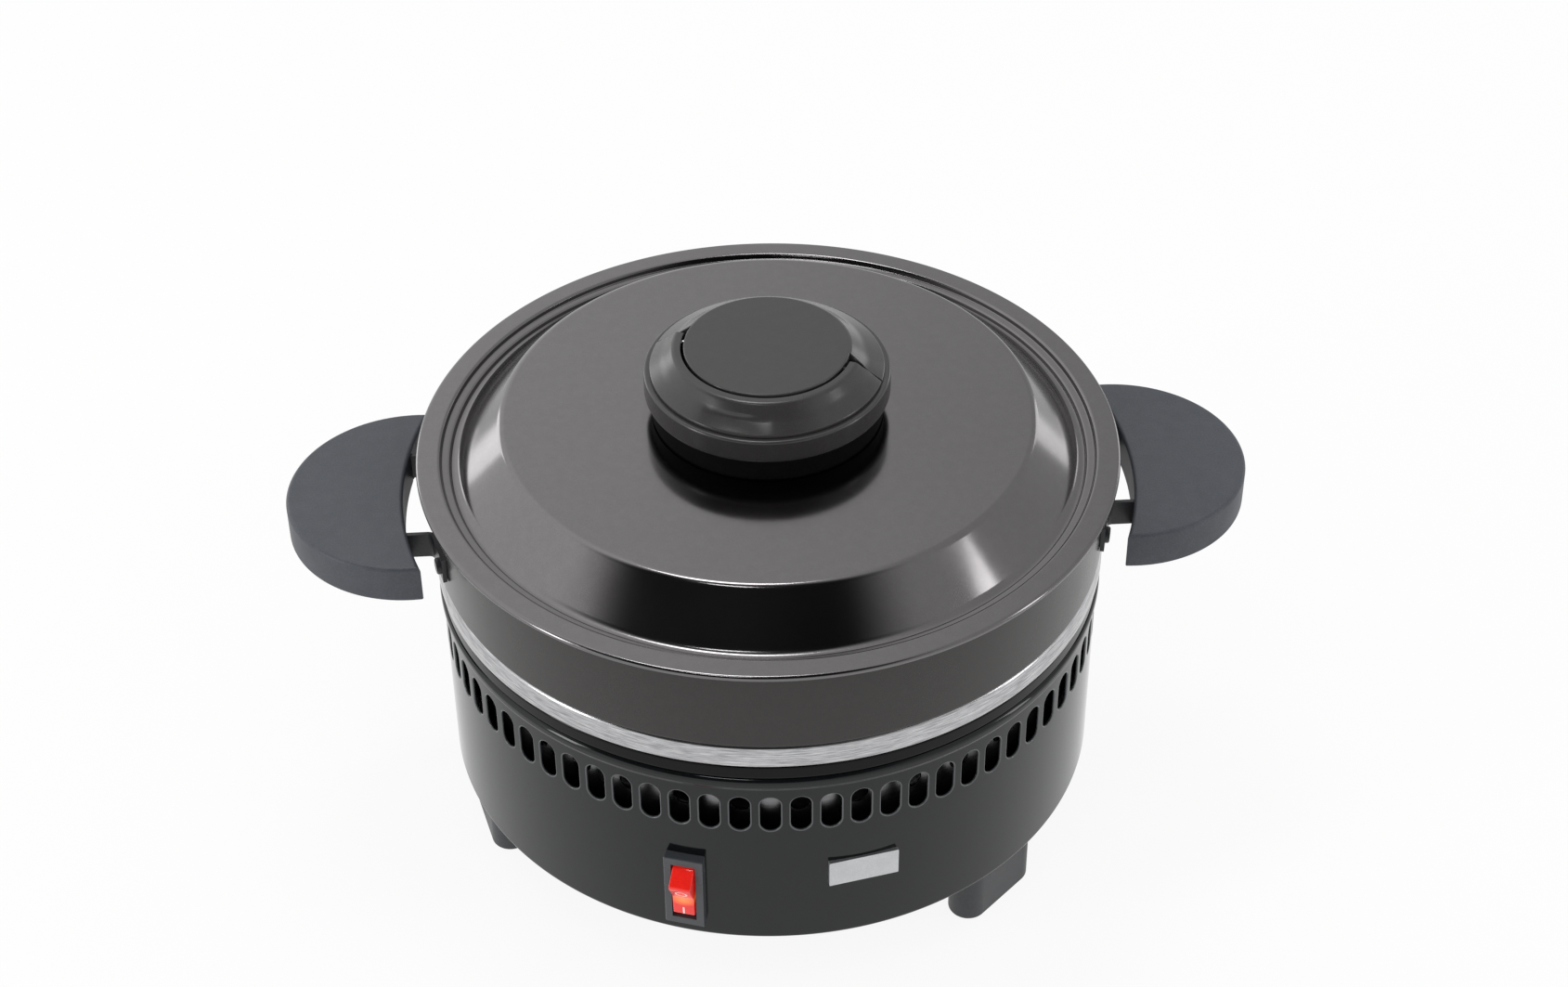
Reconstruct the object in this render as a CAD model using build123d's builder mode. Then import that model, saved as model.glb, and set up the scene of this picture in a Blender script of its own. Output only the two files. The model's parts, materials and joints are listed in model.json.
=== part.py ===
"""Electric roasting oven for chestnuts: a vented base with a heating element, a perforated pan
that stands in the base's steel ring, and a domed lid with a wide steam knob.

Millimetres, +Z up. The origin is on the table under the centre of the pan. The front, with the
switch, faces -Y, and the pan's two handles lie on the X axis. Azimuths are in degrees from the
front towards +X.
"""

import os
from math import ceil, cos, radians, sin, sqrt, tan

from build123d import *

os.makedirs("parts", exist_ok=True)

# Main size, which everything round follows
pan_radius = 120.0

# Heights of the stack, from the table up
foot_height = 26.8
housing_height = 76.3
collar_height = 5.8
ring_height = 8.8
pan_height = 33.6

# Clearances
lift_gap = 0.3
slip_gap = 0.3
thread_gap = 0.05
screw_gap = 0.25
pin_gap = 0.05

# Housing of the base: a spun sheet with a hem below and a rounded shoulder bead above
housing_inset = 3.0
housing_sheet = 0.8
hem_width = 4.0
hem_bend = 1.2
bead_proud = 0.9
bead_height = 4.0
bead_blend = 0.7
bead_lead = 0.5
bead_bend = 1.5
bead_root_bend = 1.0
flange_width = 7.5
slot_count = 72
slot_width = 6.9
slot_length = 15.2
slot_drop = 16.3
slot_turn = -3.4

# Base plate, held to tabs of the hem
plate_sheet = 1.0
tab_width = 14.0
tab_reach = 13.0
tab_azimuths = [104.4, -15.6, -135.6]
base_screw_end = 3.2
base_screw_head = 3.0
intake_count = 18
intake_length = 24.0
intake_width = 5.0
intake_inset = 62.0

# Feet: oblong blocks that lie along the rim
foot_length = 36.6
foot_width = 14.0
foot_inset = 12.2
foot_edge = 1.5
foot_azimuths = {"foot_front_right": 44.4, "foot_front_left": -75.6, "foot_rear": 164.4}
foot_roof = 6.0
peg_radius = 2.0
peg_height = 1.0
peg_offset = 12.0
foot_screw_end = 8.0

# Insulating collar and steel ring
collar_proud = 0.2
collar_width = 8.2
collar_edge = 1.0
ring_proud = 1.0
ring_sheet = 1.0
ring_flange = 6.5
ring_mouth_flange = 4.2
ring_band = 4.5
ring_setback = 0.8
ring_screw_count = 6
ring_screw_inset = 4.4
ring_screw_end = 1.0
ring_edge_bend = 1.0
ring_waist_bend = 3.0

# Heat shield and reflector
shield_sheet = 0.6
shield_inset = 7.1
shield_foot = 12.0
shield_floor_drop = 36.0
shield_hole = 8.0
shield_hole_count = 36
shield_hole_drop = 16.3
shield_bend = 1.5
reflector_sheet = 0.6
reflector_depth = 6.0
reflector_inset = 26.0
reflector_flank = 5.0
reflector_bend = 3.0
reflector_screw_end = 10.0
post_radius = 4.5

# Tubular heating element
element_radius = 4.0
element_inset = 11.0
element_pitch = 24.0
element_rise = 28.0
element_bend = 10.0
leg_length = 38.0
element_start = 100.0
element_sweep = 335.0
leg_spread = 5.0
pin_radius = 1.6
pin_length = 8.0
clip_count = 4
clip_width = 10.0
clip_sheet = 1.0
clip_inner_reach = 5.0
clip_outer_reach = 3.0
clip_bend = 2.0
bush_radius = 7.5
bush_flange = 3.0
bush_wall = 1.5

# Over-temperature thermostat, terminal block and earth stud
thermostat_azimuth = -120.0
thermostat_centre = 40.0
thermostat_radius = 8.0
thermostat_height = 9.0
thermostat_rivet = 12.0
thermostat_tag = 4.0
ear_length = 30.0
ear_width = 7.2
ear_sheet = 0.8
block_length = 40.0
block_width = 16.0
block_height = 14.0
block_inset = 47.0
block_pitch = 13.3
block_screw_hole = 2.2
block_edge = 1.0
earth_offset = 14.0
earth_height = 12.0
earth_head_height = 1.0
wire_radius = 1.3
wire_bend = 8.0
wire_lift = 1.0
live_run = 18.0
live_side = 36.0
live_lift = 3.0
neutral_run = 22.0
neutral_reach = 26.0
lamp_run = 32.0
lamp_side = 14.0
lamp_reach = 30.0
tag_run = 38.0
tag_lift = 2.0

# Screws and nuts
m4_radius = 1.95
m4_head = 4.0
m4_head_height = 2.6
m4_nut_flats = 7.0
m4_nut_height = 3.2
m3_radius = 1.45
m3_head = 2.4
m3_head_height = 1.9
m3_nut_flats = 5.5
m3_nut_height = 2.4
head_round = 0.4
recess_floor = 0.5
recess_length = 1.1
recess_breadth = 0.24

# Cable gland at the back, for a 7 mm cord
gland_azimuth = 180.0
gland_z = 50.0
gland_bore = 3.6
gland_thread = 7.8
gland_flange = 11.0
gland_proud = 4.6
gland_depth = 13.0
gland_edge = 1.5
gland_saddle = 1.0
gland_nut_flats = 20.0
gland_nut_height = 4.0

# Slim rocker switch
switch_azimuth = -17.7
switch_z = 48.8
bezel_width = 13.6
bezel_height = 31.2
bezel_proud = 3.4
bezel_edge = 0.5
mouth_width = 8.5
mouth_height = 25.1
switch_body_width = 12.2
switch_body_height = 29.2
switch_depth = 22.4
mouth_depth = 14.0
rocker_width = 7.5
rocker_pivot = 4.2
rocker_crest = 5.4
rocker_reach = 11.8
rocker_under = 5.0
rocker_waist = 2.0
rocker_foot = 3.5
rocker_dish = 13.0
rocker_tilt = 16.0
rocker_pin = 1.2
rocker_pin_reach = 5.3
blade_width = 4.8
blade_sheet = 0.8
blade_length = 8.0
blade_pitch = 9.0
blade_run = 26.0
lamp_radius = 1.5
lamp_height = 2.6

# Badge plate, left bare
badge_azimuth = 12.0
badge_z = 57.0
badge_width = 24.4
badge_height = 10.7
badge_proud = 1.0
badge_corner = 0.4

# Pan: a casting with a flanged rim, an inner ledge and a perforated floor
rim_width = 3.3
rim_height = 2.8
rim_edge = 0.9
wall_overhang = 1.8
wall_setback = 0.6
bore_setback = 0.7
ledge_rise = 8.3
ledge_width = 4.5
ledge_fall = 0.9
floor_rise = 4.3
floor_inset = 12.5
floor_thickness = 2.9
bead_gap = 0.7
bead_width = 2.8
bead_drop = 2.9
recess_width = 2.6
recess_depth = 4.4
hole_radius = 4.5
hole_pitch = 19.0
hole_turn = 37.5
hole_margin = 11.5
hole_lip_radius = 6.2
hole_lip_top = 5.4
hole_lip_rise = 0.9
pan_soft_edge = 1.0
pan_small_edge = 0.8
pan_fine_edge = 0.6
ledge_bend = 1.5
ledge_edge = 1.2
floor_bend = 2.0

# Handles: half-round grips on bent straps riveted to the pan
grip_top = 137.1
grip_thickness = 14.4
grip_offset = 4.8
grip_radius = 43.4
grip_clearance = 7.7
grip_edge = 1.4
strap_z = 125.2
strap_height = 9.7
strap_sheet = 1.5
strap_arm = 22.0
strap_end = 37.0
strap_reach = 20.0
strap_bend = 2.5
strap_corner = 4.0
strap_gap = 0.1
groove_gap = 0.2
rivet_radius = 2.0
rivet_head = 2.9
rivet_head_height = 1.5
rivet_inset = 3.5
grip_screw_inset = 4.0
grip_screw_spread = 12.0
grip_screw_depth = 6.3
grip_screw_end = 1.0
grip_screw_sink = 0.3

# Lid: a pressed sheet with a brim, two steps, a steep flank and a nearly flat crown
lid_overhang = 2.0
lid_sheet = 0.8
brim_curl = 0.9
brim_width = 7.6
brim_rise = 0.3
step_setback = 0.7
upper_step = 1.7
upper_ledge = 2.6
lower_step = 1.4
lower_ledge = 2.5
ledge_dip = 0.2
flank_width = 15.6
flank_height = 16.0
flank_foot_bend = 4.0
flank_top_bend = 3.0
crown_rise = 1.2
crown_margin = 0.8
curl_bend = 0.7
brim_bend = 0.8
step_bend = 0.6
crown_bend = 100.0

# Knob of the lid, turned about Z against the handles
knob_yaw = -20.4
seal_sheet = 1.0
neck_inset = 2.2
neck_wall = 4.0
neck_height = 7.4
knob_radius = 42.2
knob_wall = 3.8
knob_floor = 2.2
knob_ring_height = 9.0
knob_edge = 0.8
knob_rim_edge = 0.3
knob_floor_bend = 1.0
cap_screw_end = 8.0
boss_inset = 9.7
boss_radius = 4.5
boss_height = 5.0
boss_angles = [90, 210, 330]
steam_count = 5
steam_spread = 76.0
steam_length = 7.0
steam_width = 4.0
lid_hole_count = 6
lid_hole_radius = 2.5
lid_hole_centre = 20.0
lid_hole_turn = 30
washer_radius = 5.5
washer_sheet = 1.0

# Cap of the knob and its hinged crescent flap
skirt_run = 11.7
cap_thickness = 2.2
cap_rise = 9.2
cap_edge = 0.5
cap_bore = 9.0
core_inset = 1.4
core_wall = 3.0
core_boss = 5.0
skirt_inset = 2.1
skirt_wall = 2.0
skirt_base = 1.0
skirt_start = 3.2
skirt_bend = 1.5
skirt_edge = 0.6
skirt_overlap = 0.2
flap_gap = 0.5
flap_top_drop = 0.4
flap_land_width = 3.8
flap_lip = 1.0
flap_wall = 2.0
flap_start = 0.6
flap_edge = 0.3
flap_undercut = 0.3
flap_land_wall = 0.6
pivot_drop = 5.2
pivot_pin = 1.0
pivot_pin_sink = 4.0
pivot_pin_reach = 5.5
nose_radius = 2.3
nose_gap = 0.9
nose_width = 4.9
nose_block = 1.5
scoop_radius = 120.0
scoop_depth = 1.3
scoop_rise = 0.2

# Places that follow from the main size
housing_radius = pan_radius - housing_inset
lid_radius = pan_radius + lid_overhang
foot_centre = housing_radius - foot_inset
intake_radius = housing_radius - intake_inset
reflector_floor = housing_radius - reflector_inset
element_outer = reflector_floor - element_inset
element_inner = element_outer - element_pitch
block_y = housing_radius - block_inset
earth_x = block_length / 2 + earth_offset
floor_radius = pan_radius - floor_inset
hole_field = floor_radius - hole_margin
grip_centre = pan_radius + grip_offset
grip_gap = pan_radius + grip_clearance
strap_bridge = pan_radius + strap_reach

# Places that follow from the knob's size
crown_flat = knob_radius + crown_margin
neck_radius = knob_radius - neck_inset
boss_centre = knob_radius - boss_inset
skirt_radius = knob_radius - skirt_inset
cap_radius = skirt_radius - skirt_run
core_radius = cap_radius - core_inset
flap_land = cap_radius + flap_land_width
pivot_pin_inner = core_radius - pivot_pin_sink
pivot_pin_outer = cap_radius + pivot_pin_reach
nose_inner = cap_radius + nose_gap
nose_outer = nose_inner + nose_width

# Heights that follow from the stack
housing_bottom = foot_height - housing_sheet
housing_top = housing_bottom + housing_height
collar_top = housing_top + collar_height
ring_top = collar_top + ring_height
pan_bottom = ring_top + lift_gap
pan_top = pan_bottom + pan_height
plate_top = foot_height + plate_sheet
flange_under = housing_top - housing_sheet
shield_floor = housing_top - shield_floor_drop
reflector_z = shield_floor - reflector_depth
element_z = reflector_z + element_rise + element_radius

# How a cylinder or box lies on its plane: standing on it, or hanging under it
standing = (Align.CENTER, Align.CENTER, Align.MIN)
hanging = (Align.CENTER, Align.CENTER, Align.MAX)


def wall_plane(azimuth, radius, z):
    """Plane square to a round wall: its normal points outwards and its Y axis up."""
    turn = radians(azimuth)
    return Plane(
        origin=(radius * sin(turn), -radius * cos(turn), z),
        x_dir=(cos(turn), sin(turn), 0),
        z_dir=(sin(turn), -cos(turn), 0),
    )


def floor_plane(azimuth, radius, z):
    """Level plane over a point of the base: X lies along the rim and Y points inwards."""
    turn = radians(azimuth)
    return Plane(
        origin=(radius * sin(turn), -radius * cos(turn), z),
        x_dir=(cos(turn), sin(turn), 0),
        z_dir=(0, 0, 1),
    )


def turned(corners):
    """Solid of revolution about Z. Each corner of its half section is a radius, a height and a fillet."""
    with BuildPart() as solid:
        with BuildSketch(Plane.XZ):
            with BuildLine():
                points = [(radius, z) for radius, z, bend in corners]
                FilletPolyline(*points, radius=[bend for radius, z, bend in corners], close=True)
            make_face()
        revolve(axis=Axis.Z)
    return solid.part


def spun(corners, sheet):
    """Round pressed sheet. Each corner of its middle line is a radius, a height and a bend."""
    with BuildPart() as shell:
        with BuildSketch(Plane.XZ):
            with BuildLine():
                points = [(radius, z) for radius, z, bend in corners]
                FilletPolyline(*points, radius=[bend for radius, z, bend in corners[1:-1]])
            trace(line_width=sheet)
        revolve(axis=Axis.Z)
    return shell.part


def screw(plane, shank, length, head, head_height):
    """Cross-head screw: its head stands on the plane and its shank runs the other way."""
    with BuildPart(plane) as part:
        Cylinder(head, head_height, align=standing)
        fillet(part.faces().sort_by(Axis(plane.origin, plane.z_dir))[-1].edges(), head_height * head_round)
        with Locations((0, 0, head_height * recess_floor)):
            long = head * recess_length
            narrow = head * recess_breadth
            Box(long, narrow, head_height, align=standing, mode=Mode.SUBTRACT)
            Box(narrow, long, head_height, align=standing, mode=Mode.SUBTRACT)
        Cylinder(shank, length, align=hanging)
    return part.part


def hex_nut(plane, flats, height, bore):
    """Hexagon nut that stands on the plane."""
    with BuildPart() as part:
        with BuildSketch(plane):
            RegularPolygon(flats / 2, 6, major_radius=False)
            Circle(bore, mode=Mode.SUBTRACT)
        extrude(amount=height)
    return part.part


def wire(points):
    """Insulated wire along a route of straight runs joined by arcs."""
    with BuildPart() as tube:
        with BuildLine() as route:
            FilletPolyline(*points, radius=wire_bend)
        with BuildSketch(Plane(origin=route.line @ 0, z_dir=route.line % 0)):
            Circle(wire_radius)
        sweep(path=route.wires()[0])
    return tube.part


def save(part, name):
    """Labels a finished piece and writes it."""
    part.label = name
    export_step(part, f"parts/{name}.step")


# Housing shell with its hem, tabs, shoulder bead and vent slots
wall_middle = housing_radius - housing_sheet / 2
bead_middle = wall_middle + bead_proud
hem_middle = housing_bottom + housing_sheet / 2
top_middle = housing_top - housing_sheet / 2
tab_centre = housing_radius - tab_reach / 2
tab_screw_circle = housing_radius - hem_width - (tab_reach - hem_width) / 2
slot_z = housing_top - slot_drop
with BuildPart() as housing_shell:
    add(
        spun(
            [
                (housing_radius - hem_width, hem_middle, 0),
                (wall_middle, hem_middle, hem_bend),
                (wall_middle, housing_top - bead_height - bead_blend, bead_bend),
                (bead_middle, housing_top - bead_height + bead_lead, bead_root_bend),
                (bead_middle, top_middle, bead_bend),
                (bead_middle - flange_width, top_middle, 0),
            ],
            housing_sheet,
        )
    )
    for azimuth in tab_azimuths:
        with BuildSketch(floor_plane(azimuth, tab_centre - housing_sheet, housing_bottom)):
            Rectangle(tab_width, tab_reach - 2 * housing_sheet)
    extrude(amount=housing_sheet)
    for azimuth in tab_azimuths:
        with BuildSketch(floor_plane(azimuth, tab_screw_circle, housing_bottom)):
            Circle(m3_radius + screw_gap)
    extrude(amount=housing_sheet, mode=Mode.SUBTRACT)
    for number in range(slot_count):
        turn = slot_turn + number * 360 / slot_count
        with BuildSketch(wall_plane(turn, housing_radius + bead_proud, slot_z)):
            SlotOverall(slot_length, slot_width, rotation=90)
    extrude(amount=-(bead_proud + 2 * housing_sheet), mode=Mode.SUBTRACT)
    with BuildSketch(wall_plane(switch_azimuth, housing_radius + bead_proud, switch_z)):
        Rectangle(switch_body_width + 2 * slip_gap, switch_body_height + 2 * slip_gap)
    extrude(amount=-(bead_proud + 2 * housing_sheet), mode=Mode.SUBTRACT)
    with BuildSketch(wall_plane(gland_azimuth, housing_radius + bead_proud, gland_z)):
        Circle(gland_thread + slip_gap)
    extrude(amount=-(bead_proud + 2 * housing_sheet), mode=Mode.SUBTRACT)
    ring_screw_circle = bead_middle + housing_sheet / 2 - ring_screw_inset
    with BuildSketch(Plane.XY.offset(flange_under)):
        with PolarLocations(ring_screw_circle, ring_screw_count, start_angle=slot_turn):
            Circle(m3_radius + screw_gap)
    extrude(amount=housing_sheet, mode=Mode.SUBTRACT)
save(housing_shell.part, "housing_shell")

# Base plate with its air intake slots
with BuildPart() as base_plate:
    with BuildSketch(Plane.XY.offset(foot_height)):
        Circle(housing_radius - housing_sheet / 2 - hem_bend - slip_gap)
        with PolarLocations(intake_radius, intake_count):
            SlotOverall(intake_length, intake_width, mode=Mode.SUBTRACT)
    extrude(amount=plate_sheet)
    for azimuth in tab_azimuths:
        with BuildSketch(floor_plane(azimuth, tab_screw_circle, foot_height)):
            Circle(m3_radius + thread_gap)
    for azimuth in foot_azimuths.values():
        with BuildSketch(floor_plane(azimuth, foot_centre, foot_height)):
            Circle(m4_radius + screw_gap)
            with Locations((peg_offset, 0)):
                Circle(peg_radius + thread_gap)
    with BuildSketch(Plane.XY.offset(foot_height)):
        with Locations((earth_x, block_y)):
            Circle(m4_radius + thread_gap)
    extrude(amount=plate_sheet, mode=Mode.SUBTRACT)
save(base_plate.part, "base_plate")

with BuildPart() as base_screws:
    for azimuth in tab_azimuths:
        below = Plane(floor_plane(azimuth, tab_screw_circle, housing_bottom).origin, z_dir=(0, 0, -1))
        length = housing_sheet + plate_sheet + base_screw_end
        add(screw(below, m3_radius, length, base_screw_head, m3_head_height))
save(base_screws.part, "base_screws")

# Feet, each with a counterbored screw and a peg that keeps it from turning
with BuildPart() as foot_screws:
    for azimuth in foot_azimuths.values():
        seat = Plane(floor_plane(azimuth, foot_centre, foot_height - foot_roof).origin, z_dir=(0, 0, -1))
        length = foot_roof + plate_sheet + foot_screw_end
        add(screw(seat, m4_radius, length, m4_head, m4_head_height))
save(foot_screws.part, "foot_screws")

for name, azimuth in foot_azimuths.items():
    with BuildPart() as foot:
        with BuildSketch(floor_plane(azimuth, foot_centre, 0)):
            SlotOverall(foot_length, foot_width)
        extrude(amount=foot_height)
        fillet(foot.faces().sort_by(Axis.Z)[0].edges(), foot_edge)
        with BuildSketch(floor_plane(azimuth, foot_centre, 0)):
            Circle(m4_head + screw_gap)
        extrude(amount=foot_height - foot_roof, mode=Mode.SUBTRACT)
        with BuildSketch(floor_plane(azimuth, foot_centre, foot_height - foot_roof)):
            Circle(m4_radius + screw_gap)
        extrude(amount=foot_roof, mode=Mode.SUBTRACT)
        with BuildSketch(floor_plane(azimuth, foot_centre, foot_height)):
            with Locations((peg_offset, 0)):
                Circle(peg_radius)
        extrude(amount=peg_height)
    save(foot.part, name)

# Insulating collar and steel ring, clamped to the housing's flange by screws from inside
collar_radius_outer = housing_radius + collar_proud
with BuildPart() as insulating_collar:
    add(
        turned(
            [
                (collar_radius_outer - collar_width, housing_top, 0),
                (collar_radius_outer, housing_top, collar_edge),
                (collar_radius_outer, collar_top, collar_edge),
                (collar_radius_outer - collar_width, collar_top, 0),
            ]
        )
    )
    with BuildSketch(Plane.XY.offset(housing_top)):
        with PolarLocations(ring_screw_circle, ring_screw_count, start_angle=slot_turn):
            Circle(m3_radius + screw_gap)
    extrude(amount=collar_height, mode=Mode.SUBTRACT)
save(insulating_collar.part, "insulating_collar")

ring_middle = housing_radius + ring_proud - ring_sheet / 2
ring_mouth = housing_radius + ring_proud - ring_setback - ring_mouth_flange
with BuildPart() as steel_ring:
    add(
        spun(
            [
                (ring_middle - ring_flange, collar_top + ring_sheet / 2, 0),
                (ring_middle, collar_top + ring_sheet / 2, ring_edge_bend),
                (ring_middle, collar_top + ring_band, ring_waist_bend),
                (ring_middle - ring_setback, ring_top - ring_sheet / 2, ring_edge_bend),
                (ring_mouth, ring_top - ring_sheet / 2, 0),
            ],
            ring_sheet,
        )
    )
    with BuildSketch(Plane.XY.offset(collar_top)):
        with PolarLocations(ring_screw_circle, ring_screw_count, start_angle=slot_turn):
            Circle(m3_radius + screw_gap)
    extrude(amount=ring_sheet, mode=Mode.SUBTRACT)
save(steel_ring.part, "steel_ring")

clamp_length = housing_sheet + collar_height + ring_sheet
ring_screw_step = 360 / ring_screw_count
ring_screw_azimuths = [90 + slot_turn + number * ring_screw_step for number in range(ring_screw_count)]
with BuildPart() as ring_screws:
    for azimuth in ring_screw_azimuths:
        seat = floor_plane(azimuth, ring_screw_circle, flange_under)
        head_seat = Plane(seat.origin, z_dir=(0, 0, -1))
        length = clamp_length + m3_nut_height + ring_screw_end
        add(screw(head_seat, m3_radius, length, m3_head, m3_head_height))
save(ring_screws.part, "ring_screws")

with BuildPart() as ring_nuts:
    for azimuth in ring_screw_azimuths:
        seat = floor_plane(azimuth, ring_screw_circle, collar_top + ring_sheet)
        add(hex_nut(seat, m3_nut_flats, m3_nut_height, m3_radius + thread_gap))
save(ring_nuts.part, "ring_nuts")

# Heat shield: a perforated band under the flange, with a window for the switch
shield_middle = bead_middle - shield_inset + shield_sheet / 2
shield_inner = shield_middle - shield_foot
with BuildPart() as heat_shield:
    add(
        spun(
            [
                (shield_inner, shield_floor - shield_sheet / 2, 0),
                (shield_middle, shield_floor - shield_sheet / 2, shield_bend),
                (shield_middle, flange_under, 0),
            ],
            shield_sheet,
        )
    )
    for number in range(shield_hole_count):
        turn = slot_turn + (number + 0.5) * 360 / shield_hole_count
        with BuildSketch(wall_plane(turn, shield_middle + shield_sheet, housing_top - shield_hole_drop)):
            Circle(shield_hole / 2)
    extrude(amount=-2 * shield_sheet, mode=Mode.SUBTRACT)
    for azimuth in foot_azimuths.values():
        with BuildSketch(floor_plane(azimuth, foot_centre, shield_floor - shield_sheet)):
            Circle(m4_radius + screw_gap)
    extrude(amount=shield_sheet, mode=Mode.SUBTRACT)
save(heat_shield.part, "heat_shield")

# Reflector dish that lies on the shield's floor
dish_rim = shield_middle - shield_bend - slip_gap
dish_rim_z = shield_floor + reflector_sheet / 2
dish_floor_z = reflector_z + reflector_sheet / 2
element_legs = {element_outer: element_start, element_inner: element_start + leg_spread}


def leg_foot(angle, radius):
    """Where a leg of the element stands, one bend behind the end of its turn."""
    turn = radians(angle)
    return (radius * cos(turn) + element_bend * sin(turn), radius * sin(turn) - element_bend * cos(turn))


with BuildPart() as reflector_dish:
    add(
        spun(
            [
                (0, dish_floor_z, 0),
                (reflector_floor, dish_floor_z, reflector_bend),
                (reflector_floor + reflector_flank, dish_rim_z, reflector_bend),
                (dish_rim, dish_rim_z, 0),
            ],
            reflector_sheet,
        )
    )
    for azimuth in foot_azimuths.values():
        with BuildSketch(floor_plane(azimuth, foot_centre, shield_floor)):
            Circle(m4_radius + screw_gap)
    with BuildSketch(Plane.XY.offset(reflector_z)):
        with Locations([leg_foot(angle, radius) for radius, angle in element_legs.items()]):
            Circle(element_radius + bush_wall + 2 * thread_gap)
    for side in (-1, 1):
        with BuildSketch(floor_plane(thermostat_azimuth, thermostat_centre, reflector_z)):
            with Locations((side * thermostat_rivet, 0)):
                Circle(m3_radius + thread_gap)
    extrude(amount=reflector_sheet, mode=Mode.SUBTRACT)
save(reflector_dish.part, "reflector_dish")

shield_under = shield_floor - shield_sheet
with BuildPart() as reflector_posts:
    for azimuth in foot_azimuths.values():
        with BuildSketch(floor_plane(azimuth, foot_centre, plate_top)):
            Circle(post_radius)
            Circle(m4_radius + thread_gap, mode=Mode.SUBTRACT)
    extrude(amount=shield_under - plate_top)
save(reflector_posts.part, "reflector_posts")

with BuildPart() as reflector_screws:
    for azimuth in foot_azimuths.values():
        seat = floor_plane(azimuth, foot_centre, shield_floor + reflector_sheet)
        length = shield_sheet + reflector_sheet + reflector_screw_end
        add(screw(seat, m4_radius, length, m4_head, m4_head_height))
save(reflector_screws.part, "reflector_screws")

# Tubular heating element: an outer turn, a hairpin, an inner turn and two legs down through the reflector
hairpin_angle = element_start + element_sweep
inner_sweep = element_sweep - leg_spread
hairpin_middle = (element_outer + element_inner) / 2
hairpin_turn = radians(hairpin_angle)


def element_leg(angle, radius):
    """Leg of the element: a quarter bend down from one end of the coil, then straight to its pin."""
    turn = radians(angle)
    back = Vector(sin(turn), -cos(turn), 0)
    side = back.cross(Vector(0, 0, 1))
    end = (radius * cos(turn), radius * sin(turn), element_z)
    with BuildPart() as leg:
        with BuildLine(Plane(origin=end, x_dir=back, z_dir=side)) as route:
            Line((element_bend, -leg_length), (element_bend, -element_bend))
            CenterArc((0, -element_bend), element_bend, 0, 90)
        with BuildSketch(Plane(origin=route.line @ 0, z_dir=(0, 0, 1))):
            Circle(element_radius)
        sweep(path=route.wires()[0])
        with BuildSketch(Plane(origin=route.line @ 0, z_dir=(0, 0, -1))):
            Circle(pin_radius)
        extrude(amount=pin_length)
    return leg.part


with BuildPart() as heating_element:
    with BuildLine(Plane.XY.offset(element_z)) as coil:
        CenterArc((0, 0), element_outer, element_start, element_sweep)
        CenterArc(
            (hairpin_middle * cos(hairpin_turn), hairpin_middle * sin(hairpin_turn)),
            (element_outer - element_inner) / 2,
            hairpin_angle,
            180,
        )
        CenterArc((0, 0), element_inner, hairpin_angle, -inner_sweep)
    start_turn = radians(element_start)
    coil_start = (element_outer * cos(start_turn), element_outer * sin(start_turn), element_z)
    with BuildSketch(Plane(origin=coil_start, z_dir=(-sin(start_turn), cos(start_turn), 0))):
        Circle(element_radius)
    sweep(path=coil.wires()[0])
    for radius, angle in element_legs.items():
        add(element_leg(angle, radius))
save(heating_element.part, "heating_element")

# Clips: bent strips that carry the element above the reflector
clip_inner = element_inner - element_radius - clip_inner_reach
clip_outer = element_outer + element_radius + clip_outer_reach
clip_foot_z = reflector_z + reflector_sheet
with BuildPart() as element_clips:
    for number in range(clip_count):
        azimuth = 45 + number * 360 / clip_count
        side_plane = wall_plane(azimuth + 90, 0, 0)
        with BuildSketch(side_plane):
            with BuildLine():
                FilletPolyline(
                    (-clip_inner, clip_foot_z),
                    (-clip_inner, element_z - element_radius - clip_sheet / 2),
                    (-clip_outer, element_z - element_radius - clip_sheet / 2),
                    (-clip_outer, clip_foot_z),
                    radius=clip_bend,
                )
            trace(line_width=clip_sheet)
    extrude(amount=clip_width / 2, both=True)
save(element_clips.part, "element_clips")

# Ceramic bushes around the legs
leg_feet = [leg_foot(angle, radius) for radius, angle in element_legs.items()]
with BuildPart() as element_insulators:
    with Locations([Plane(origin=(x, y, clip_foot_z)) for x, y in leg_feet]):
        Cylinder(bush_radius, bush_flange, align=standing)
        Cylinder(
            element_radius + thread_gap + bush_wall,
            reflector_sheet + bush_flange,
            align=hanging,
        )
        Cylinder(element_radius + thread_gap, 4 * bush_flange, mode=Mode.SUBTRACT)
save(element_insulators.part, "element_insulators")

# Over-temperature thermostat, snapped under the reflector by two riveted ears
with BuildPart() as limit_thermostat:
    with BuildSketch(floor_plane(thermostat_azimuth, thermostat_centre, reflector_z)):
        SlotOverall(ear_length, ear_width)
        with Locations((-thermostat_rivet, 0), (thermostat_rivet, 0)):
            Circle(m3_radius + thread_gap, mode=Mode.SUBTRACT)
    extrude(amount=-ear_sheet)
    with BuildSketch(floor_plane(thermostat_azimuth, thermostat_centre, reflector_z)):
        Circle(thermostat_radius)
    extrude(amount=-thermostat_height)
    with BuildSketch(floor_plane(thermostat_azimuth, thermostat_centre, reflector_z - thermostat_height)):
        with Locations((0, -thermostat_tag), (0, thermostat_tag)):
            Rectangle(blade_width, blade_sheet)
    extrude(amount=-blade_length)
save(limit_thermostat.part, "limit_thermostat")

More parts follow.
